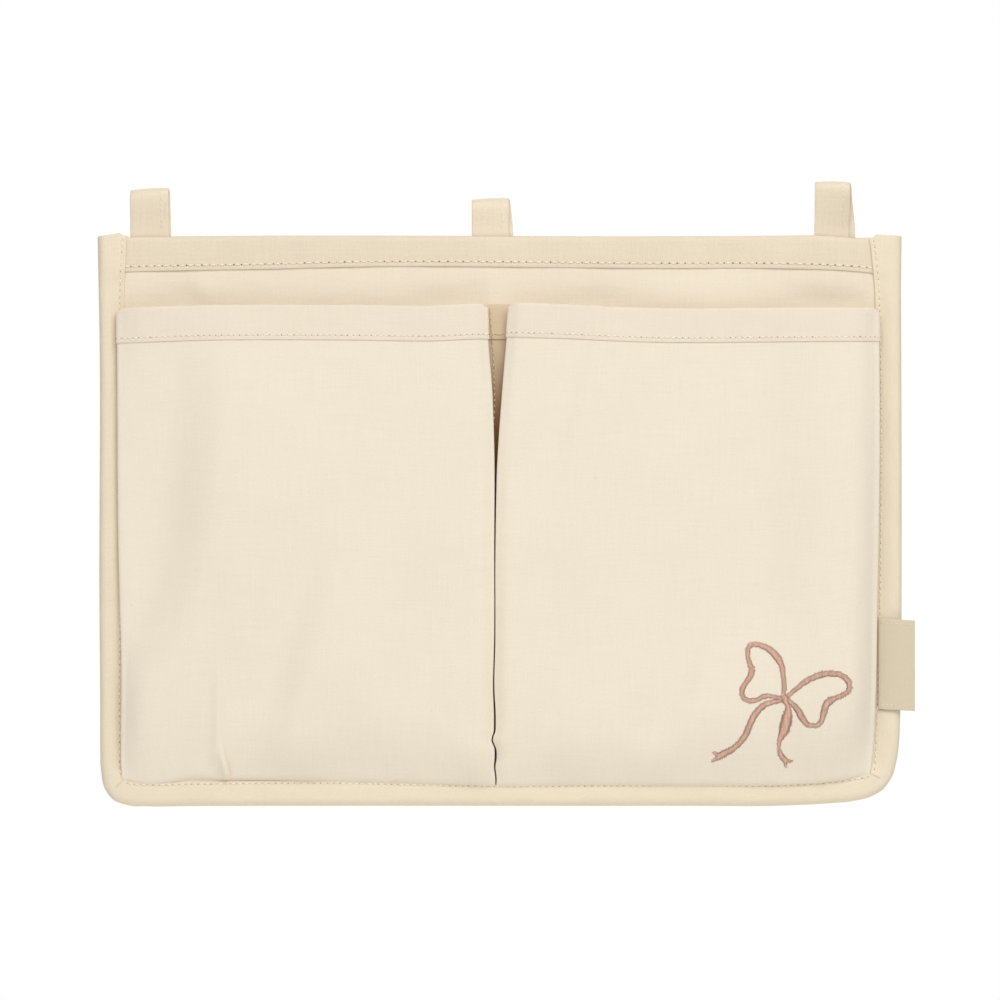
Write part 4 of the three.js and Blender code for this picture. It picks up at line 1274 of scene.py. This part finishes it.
def rolled_edge(h, side, edge, inward, rise):
    x = edge + inward * ROLL_START
    front_y = pocket_point(x, h, side)[:, 1]
    back_y = front_y + ROLL_THICK * rise
    corner_y = -FACE - pocket_stand(edge + inward * 0.3, h, edge, edge + inward * FAR_AWAY, side)
    t = np.linspace(0, 1, 10)[1:]
    weights = [(1 - t) ** 3, 3 * t * (1 - t) ** 2, 3 * t * t * (1 - t), t**3]
    curve_x = [x, edge - inward * ROLL_OVER, edge - inward * ROLL_OVER, edge + inward * ROLL_END]
    curve_y = [front_y, (front_y + corner_y) / 2, back_y - 0.4 * rise, back_y]
    roll = [sum(w * c[:, None] for w, c in zip(weights, curve)) for curve in (curve_x, curve_y)]
    return *roll, back_y[:, None]


print(f"an edge turns round a roll {ROLL_THICK} mm thick")

# %% Its pleat
PLEAT = 18.0
LEAF_HALF, LEAF_BULGE = 0.3, 0.25
PLEAT_STAND = 0.9


def edge_and_pleat(h, side, edge, inward, sewn_x):
    rise = risen(h / BOTTOM_ROUND)
    roll_x, roll_y, back_y = rolled_edge(h, side, edge, inward, rise)
    sewn_y = -FACE - SEWN_STAND
    fold_x = sewn_x + inward * PLEAT
    fold_y = -FACE - PLEAT_STAND + (back_y + FACE + PLEAT_STAND) * 0.5
    s = np.linspace(0, 1, 9)[1:]
    leaf_x = [(edge + inward * ROLL_END)[:, None] * (1 - s) + fold_x * s, fold_x * (1 - s) + sewn_x * s]
    bulge = LEAF_BULGE * np.sin(np.pi * s) * rise[:, None]
    leaf_y = [back_y * (1 - s) + (fold_y - LEAF_HALF) * s,
              (fold_y + LEAF_HALF) * (1 - s) + sewn_y * s - bulge]
    under_x = np.broadcast_to(leaf_x[1], leaf_x[0].shape)
    x = np.concatenate([roll_x, leaf_x[0], under_x], axis=1)
    y = np.concatenate([roll_y, *leaf_y], axis=1)
    return points_at(x, y, pocket_level(np.clip(x, -202, 200), h[:, None], side))


print("pleats", PLEAT, "mm deep")

# %% The pocket cloth's grid
PLEAT_START, PLEAT_CELLS = 2.5, 16
SEWN_SIDE, SEWN_AT_STRIP = 195.7, {LEFT: -9.3, RIGHT: 5.3}
FRONT_WIDTH = 192
AT_TUCK = {LEFT: 0.275, RIGHT: 0.284}


def front_columns(side):
    ends = np.array([0, 1.4, 3.2, 5.4, 8, 11])
    near_tuck = AT_TUCK[side] + np.linspace(-0.026, 0.02, 25)
    columns = [ends / FRONT_WIDTH, np.linspace(14, 178, 110) / FRONT_WIDTH, 1 - ends / FRONT_WIDTH, near_tuck]
    return np.unique(np.concatenate(columns).round(5))


def pocket_grid(side):
    near_seam = [-2.5, -1.2, 0, 1.2, 2.5, PLEAT_START]
    levels = [near_seam, np.arange(4, 30, 2.0), np.arange(30, POCKET_HEIGHT, 3.5), [POCKET_HEIGHT]]
    h = np.unique(np.concatenate(levels))
    outer, inner, inward = OUTER_EDGE[side](h), INNER_EDGE[side](h), -side
    first, last = outer + inward * ROLL_START, inner - inward * ROLL_START
    x = first[:, None] + (last - first)[:, None] * front_columns(side)
    outer_pleat = edge_and_pleat(h, side, outer, inward, side * SEWN_SIDE)
    inner_pleat = edge_and_pleat(h, side, inner, -inward, SEWN_AT_STRIP[side])
    front = pocket_point(x, h[:, None], side)
    grid = np.concatenate([outer_pleat[:, ::-1], front, inner_pleat], axis=1)
    keep = all_cells(grid)
    below_pleats = h[:-1] < PLEAT_START - 0.1
    keep[below_pleats, :PLEAT_CELLS] = False
    keep[below_pleats, -PLEAT_CELLS:] = False
    return h, grid, keep


print("threads across a front:", len(front_columns(LEFT)))

# %% The pocket cloths
POCKET_CLOTH = 0.7
POCKET_BEND = {"start": (0, -3.7 * MM, 0), "end": (0, -7.5 * MM, 0)}
POCKETS = {LEFT: "left_pocket", RIGHT: "right_pocket"}

sewn_pockets = {}
for side, pocket in POCKETS.items():
    h, grid, keep = pocket_grid(side)
    cloth, cut = add_cloth(f"{pocket}_cloth", grid, POCKET_CLOTH, pocket_canvas, keep)
    nodes = [f"{pocket}_{part}" for part in ("front", "outer_pleat", "inner_pleat")]
    dress(cloth, pocket, "cream_canvas", *nodes, bend=POCKET_BEND)
    sewn_pockets[side] = (h, grid, cloth, cut)

# %% [markdown]
# ## The pockets' hems
# The mouth of each pocket is turned over to the outside and sewn down, so a second layer of cloth with a
# lower edge of its own runs along it. It could be a raised line in the pocket's mesh, but then its edge
# would have no thickness. So it is a band of its own: up the outside, over the mouth and a little way down
# the inside.

# %% A hem band's grid
BAND_DEPTH = {LEFT: 17.2, RIGHT: 16.6}
BAND_CLOTH = 0.6
BAND_STEP = 0.72
BAND_INSIDE = 13


def band_grid(side):
    h, grid = sewn_pockets[side][:2]
    normal = normals_of(grid)[-1, PLEAT_CELLS:-PLEAT_CELLS]
    normal = turned_out(normal, normal[len(normal) // 2])
    step = unit(normal * (1, 1, 0))
    threads = np.moveaxis(grid[:, PLEAT_CELLS:-PLEAT_CELLS], 0, 1)

    def at_level(level):
        return np.stack([[np.interp(level, h, thread[:, axis]) for axis in range(3)] for thread in threads])

    levels = POCKET_HEIGHT - np.linspace(BAND_DEPTH[side], 0.2, 12)
    rows = [at_level(level) + step * BAND_STEP for level in levels]
    mouth = at_level(POCKET_HEIGHT)
    for turn in np.radians([25, 55, 90, 125, 155]):
        rows.append(mouth + step * BAND_STEP * np.cos(turn) + np.array([0, 0, 1]) * BAND_STEP * np.sin(turn))
    rows += [at_level(POCKET_HEIGHT - down) - step * BAND_STEP for down in np.linspace(0.2, BAND_INSIDE, 8)]
    return np.stack(rows), step


print("hem bands, mm deep:", list(BAND_DEPTH.values()))

# %% Hem bands
ROW_END = 5

for side, pocket in POCKETS.items():
    grid, step = band_grid(side)
    band, band_cut = add_cloth(f"{pocket}_band", grid, BAND_CLOTH, band_canvas)
    dress(band, pocket, "cream_canvas", f"{pocket}_hem")
    cloth, cut = sewn_pockets[side][2:]
    row = grid[1] * 0.6 + grid[2] * 0.4 + step * BAND_CLOTH / 2
    rows = [(row[ROW_END:-ROW_END], step[ROW_END:-ROW_END])]
    stitches = add_stitches(f"{pocket}_band_stitches", rows, 3.1, hole=0.3)
    dress(stitches, pocket, "cream_thread", f"{pocket}_hem_thread")

# %% [markdown]
# ## The label
# A short tape is folded in two and its ends are sewn in under the binding's edge, so it can be lifted like
# a page. It is bare. A flat card would look stiff, so the two leaves part a little towards the fold and the
# tape waves slightly.

# %% The folded tape
LABEL_CLOTH = 0.45
LABEL_SEAM, LABEL_FOLD = 198.2, 217.0
LABEL_BEND = {"start": (198.6 * MM, 0, 0), "end": (200.8 * MM, 0, 0)}
LABEL_Y = -5.3
LEAF_GAP, FOLD_REACH = 0.3, 0.35


def label_free(x):
    return (x - LABEL_SEAM) / (LABEL_FOLD - LABEL_SEAM)


def label_bow(free, z):
    return 0.25 * (1 - free) ** 3 - free**1.4 * (1 + 0.25 * np.sin(z / 9))


page = np.linspace(0, 1, 12)
leaf_x = LABEL_SEAM + 0.2 + (LABEL_FOLD - 0.2 - FOLD_REACH - LABEL_SEAM) * page
leaf_gap = LEAF_GAP + LEAF_GAP * np.sin(np.pi * page)
turn = np.linspace(np.pi / 2, -np.pi / 2, 9)[1:-1]
profile_x = np.concatenate([leaf_x, leaf_x[-1] + FOLD_REACH * np.cos(turn), leaf_x[::-1]])
profile_y = np.concatenate([-leaf_gap, -LEAF_GAP * np.sin(turn), leaf_gap[::-1]])
label_z = np.linspace(LABEL_FOOT, LABEL_TOP, 40)[:, None]
free = label_free(profile_x)
label_grid = points_at(profile_x, LABEL_Y + profile_y + label_bow(free, label_z), label_z - free)
label, label_cut = add_cloth("folded_label", label_grid, LABEL_CLOTH, label_tape)
dress(label, "label", "label_tape", "side_label", bend=LABEL_BEND)

# %% Its two rows of stitches
row_x = np.linspace(LABEL_SEAM + 0.8, LABEL_FOLD - 1.2, 30)
free = label_free(row_x)
label_rows = []
for z in (LABEL_TOP - 2.0, LABEL_FOOT + 2.2):
    row_y = LABEL_Y - np.interp(row_x, leaf_x, leaf_gap) + label_bow(free, z) - LABEL_CLOTH / 2
    label_rows.append((points_at(row_x, row_y, z - free), OUT_FRONT))
label_stitches = add_stitches("label_stitches", label_rows, 2.4, thread=0.24, hole=0)
dress(label_stitches, "label", "cream_thread", bend=LABEL_BEND)

# %% [markdown]
# ## The embroidered bow
# The bow is satin stitch: threads laid side by side across each ribbon, from one edge to the other, so the
# ribbon is raised in its middle. A painted pattern would be flat. So the course and width of each ribbon
# are drawn first, and then hundreds of short tubes are laid across it on the pocket's front, with edges
# that are slightly uneven.

# %% The bow's ribbons
KNOT_X, KNOT_Z = 148.7, -260.8
RIBBONS = {
    # from the knot: x, z, width
    "left_loop_top": [(-0.4, 2.7, 2.3), (-0.3, 6.1, 2.4), (-0.7, 11.8, 2.6), (-1.7, 17.5, 3.1),
                      (-3.7, 21.5, 4.0), (-6.8, 24.9, 3.7), (-10.2, 27.1, 3.4), (-14.2, 28.3, 2.8),
                      (-17.6, 28.0, 2.6), (-19.0, 25.7, 2.4), (-19.0, 22.0, 2.3), (-17.9, 18.1, 2.6),
                      (-16.8, 15.5, 3.4)],
    "left_loop_foot": [(-16.8, 15.5, 3.0), (-17.3, 13.0, 3.4), (-19.3, 9.5, 3.1), (-21.6, 6.1, 2.8),
                       (-22.4, 3.3, 2.6), (-21.3, 0.5, 2.7), (-18.7, -1.0, 2.7), (-15.3, -0.7, 2.6),
                       (-11.4, 1.0, 2.6), (-8.0, 1.6, 2.4), (-4.0, 0.7, 2.3), (0, 0, 2.2)],
    "right_loop_top": [(1.7, 1.6, 2.2), (4.5, 3.9, 2.3), (8.5, 7.3, 2.6), (13.1, 10.4, 3.1),
                       (17.6, 12.4, 3.4), (22.1, 13.2, 3.3), (27.3, 13.0, 3.1), (31.2, 11.2, 3.1),
                       (33.5, 8.4, 3.0), (33.5, 5.0, 2.8), (30.7, 2.4, 2.8), (26.1, 0.5, 3.1),
                       (22.7, -1.3, 4.3)],
    "right_loop_foot": [(22.7, -1.3, 4.3), (21.0, -4.1, 4.1), (20.2, -7.5, 3.4), (19.3, -10.9, 2.8),
                        (17.6, -13.5, 2.7), (14.8, -14.0, 2.6), (11.4, -13.2, 2.8), (9.1, -9.8, 3.5),
                        (6.8, -5.8, 3.5), (3.4, -2.1, 2.4), (1.7, -0.7, 2.0)],
    "left_tail": [(-2.0, -0.7, 2.3), (-6.3, -1.8, 2.6), (-10.2, -3.0, 3.1), (-13.6, -5.8, 3.4),
                  (-16.5, -9.8, 3.4), (-18.5, -14.3, 3.4), (-20.4, -18.9, 3.3), (-23.3, -22.8, 3.1),
                  (-26.7, -26.0, 3.3), (-31.2, -28.5, 4.0), (-34.8, -30.3, 4.4)],
    "middle_tail": [(1.4, -2.4, 2.4), (1.7, -5.8, 3.7), (1.4, -8.6, 5.1), (0.9, -11.5, 6.1),
                    (-0.6, -17.2, 5.4), (-2.6, -21.7, 2.6), (-2.8, -25.7, 2.0), (-1.7, -29.6, 2.8),
                    (0.6, -32.4, 3.4)],
    "left_tail_prong": [(-34.6, -29.6, 2.2), (-36.4, -28.4, 1.6), (-37.4, -27.6, 0.9)],
    "left_tail_point": [(-34.8, -31.0, 2.4), (-36.6, -32.2, 1.7), (-38.0, -32.8, 0.9)],
    "middle_tail_prong": [(1.4, -32.4, 2.2), (3.4, -32.6, 1.6), (4.8, -32.4, 0.9)],
    "middle_tail_point": [(0.6, -32.8, 2.2), (0.9, -34.4, 1.7), (1.0, -35.8, 0.9)],
    "knot": [(-0.9, 2.0, 3.0), (-0.4, 1.0, 4.2), (0, 0, 4.4), (0.5, -1.2, 4.0), (0.9, -2.2, 2.6)]}
print(len(RIBBONS), "ribbons")

# %% Satin stitch across a ribbon
THREAD_STEP = 0.5
ROUGH_EDGE = (-0.42, 0.34)
THREAD_LEAN = 0.25


def satin_row(stops, seed):
    stops = np.array(stops, float)
    run = run_along(stops[:, :2])
    at = np.arange(0, run[-1], THREAD_STEP)
    x, z, width = (soft_line(run, stops[:, column])(at) for column in range(3))
    way = unit(np.stack([np.gradient(x), np.gradient(z)], -1))
    across = np.stack([-way[:, 1], way[:, 0]], -1)
    rough = np.random.default_rng(seed).uniform(*ROUGH_EDGE, (2, len(at)))
    edges = []
    for sign, uneven in zip((-1, 1), rough):
        half = sign * (width * 0.49 + 0.16 + uneven)
        edges.append(np.stack([x, z], -1) + across * half[:, None] + way * THREAD_LEAN * sign)
    return *edges, width


def on_right_pocket(flat):
    x, z = flat[:, 0] + KNOT_X, flat[:, 1] + KNOT_Z
    level = (z - SEAM_LINE(x)) / (MOUTH_LINE[RIGHT](x) - SEAM_LINE(x)) * POCKET_HEIGHT
    return pocket_point(x, level, RIGHT) + OUT_FRONT * POCKET_CLOTH / 2


print("threads in the knot:", len(satin_row(RIBBONS["knot"], 0)[2]))

# %% The bow's threads
PINK_RADIUS, PINK_SINK = 0.27, 0.1

threads = []
for seed, (ribbon, stops) in enumerate(RIBBONS.items()):
    left, right, width = satin_row(stops, seed)
    raised = 0.16 + 0.04 * width + (0.3 if ribbon == "knot" else 0)
    starts, ends = on_right_pocket(left), on_right_pocket(right)
    threads.append(thread_tubes(starts, ends, OUT_FRONT, PINK_RADIUS, raised, PINK_SINK, rings=9, sides=5))
points, faces, uv = gather(threads)
bow = add_piece("satin_bow", points, faces, pink_thread, uv)
dress(bow, "right_pocket", "pink_thread", "bow_embroidery")
print(f"bow: {len(bow.data.polygons)} faces")
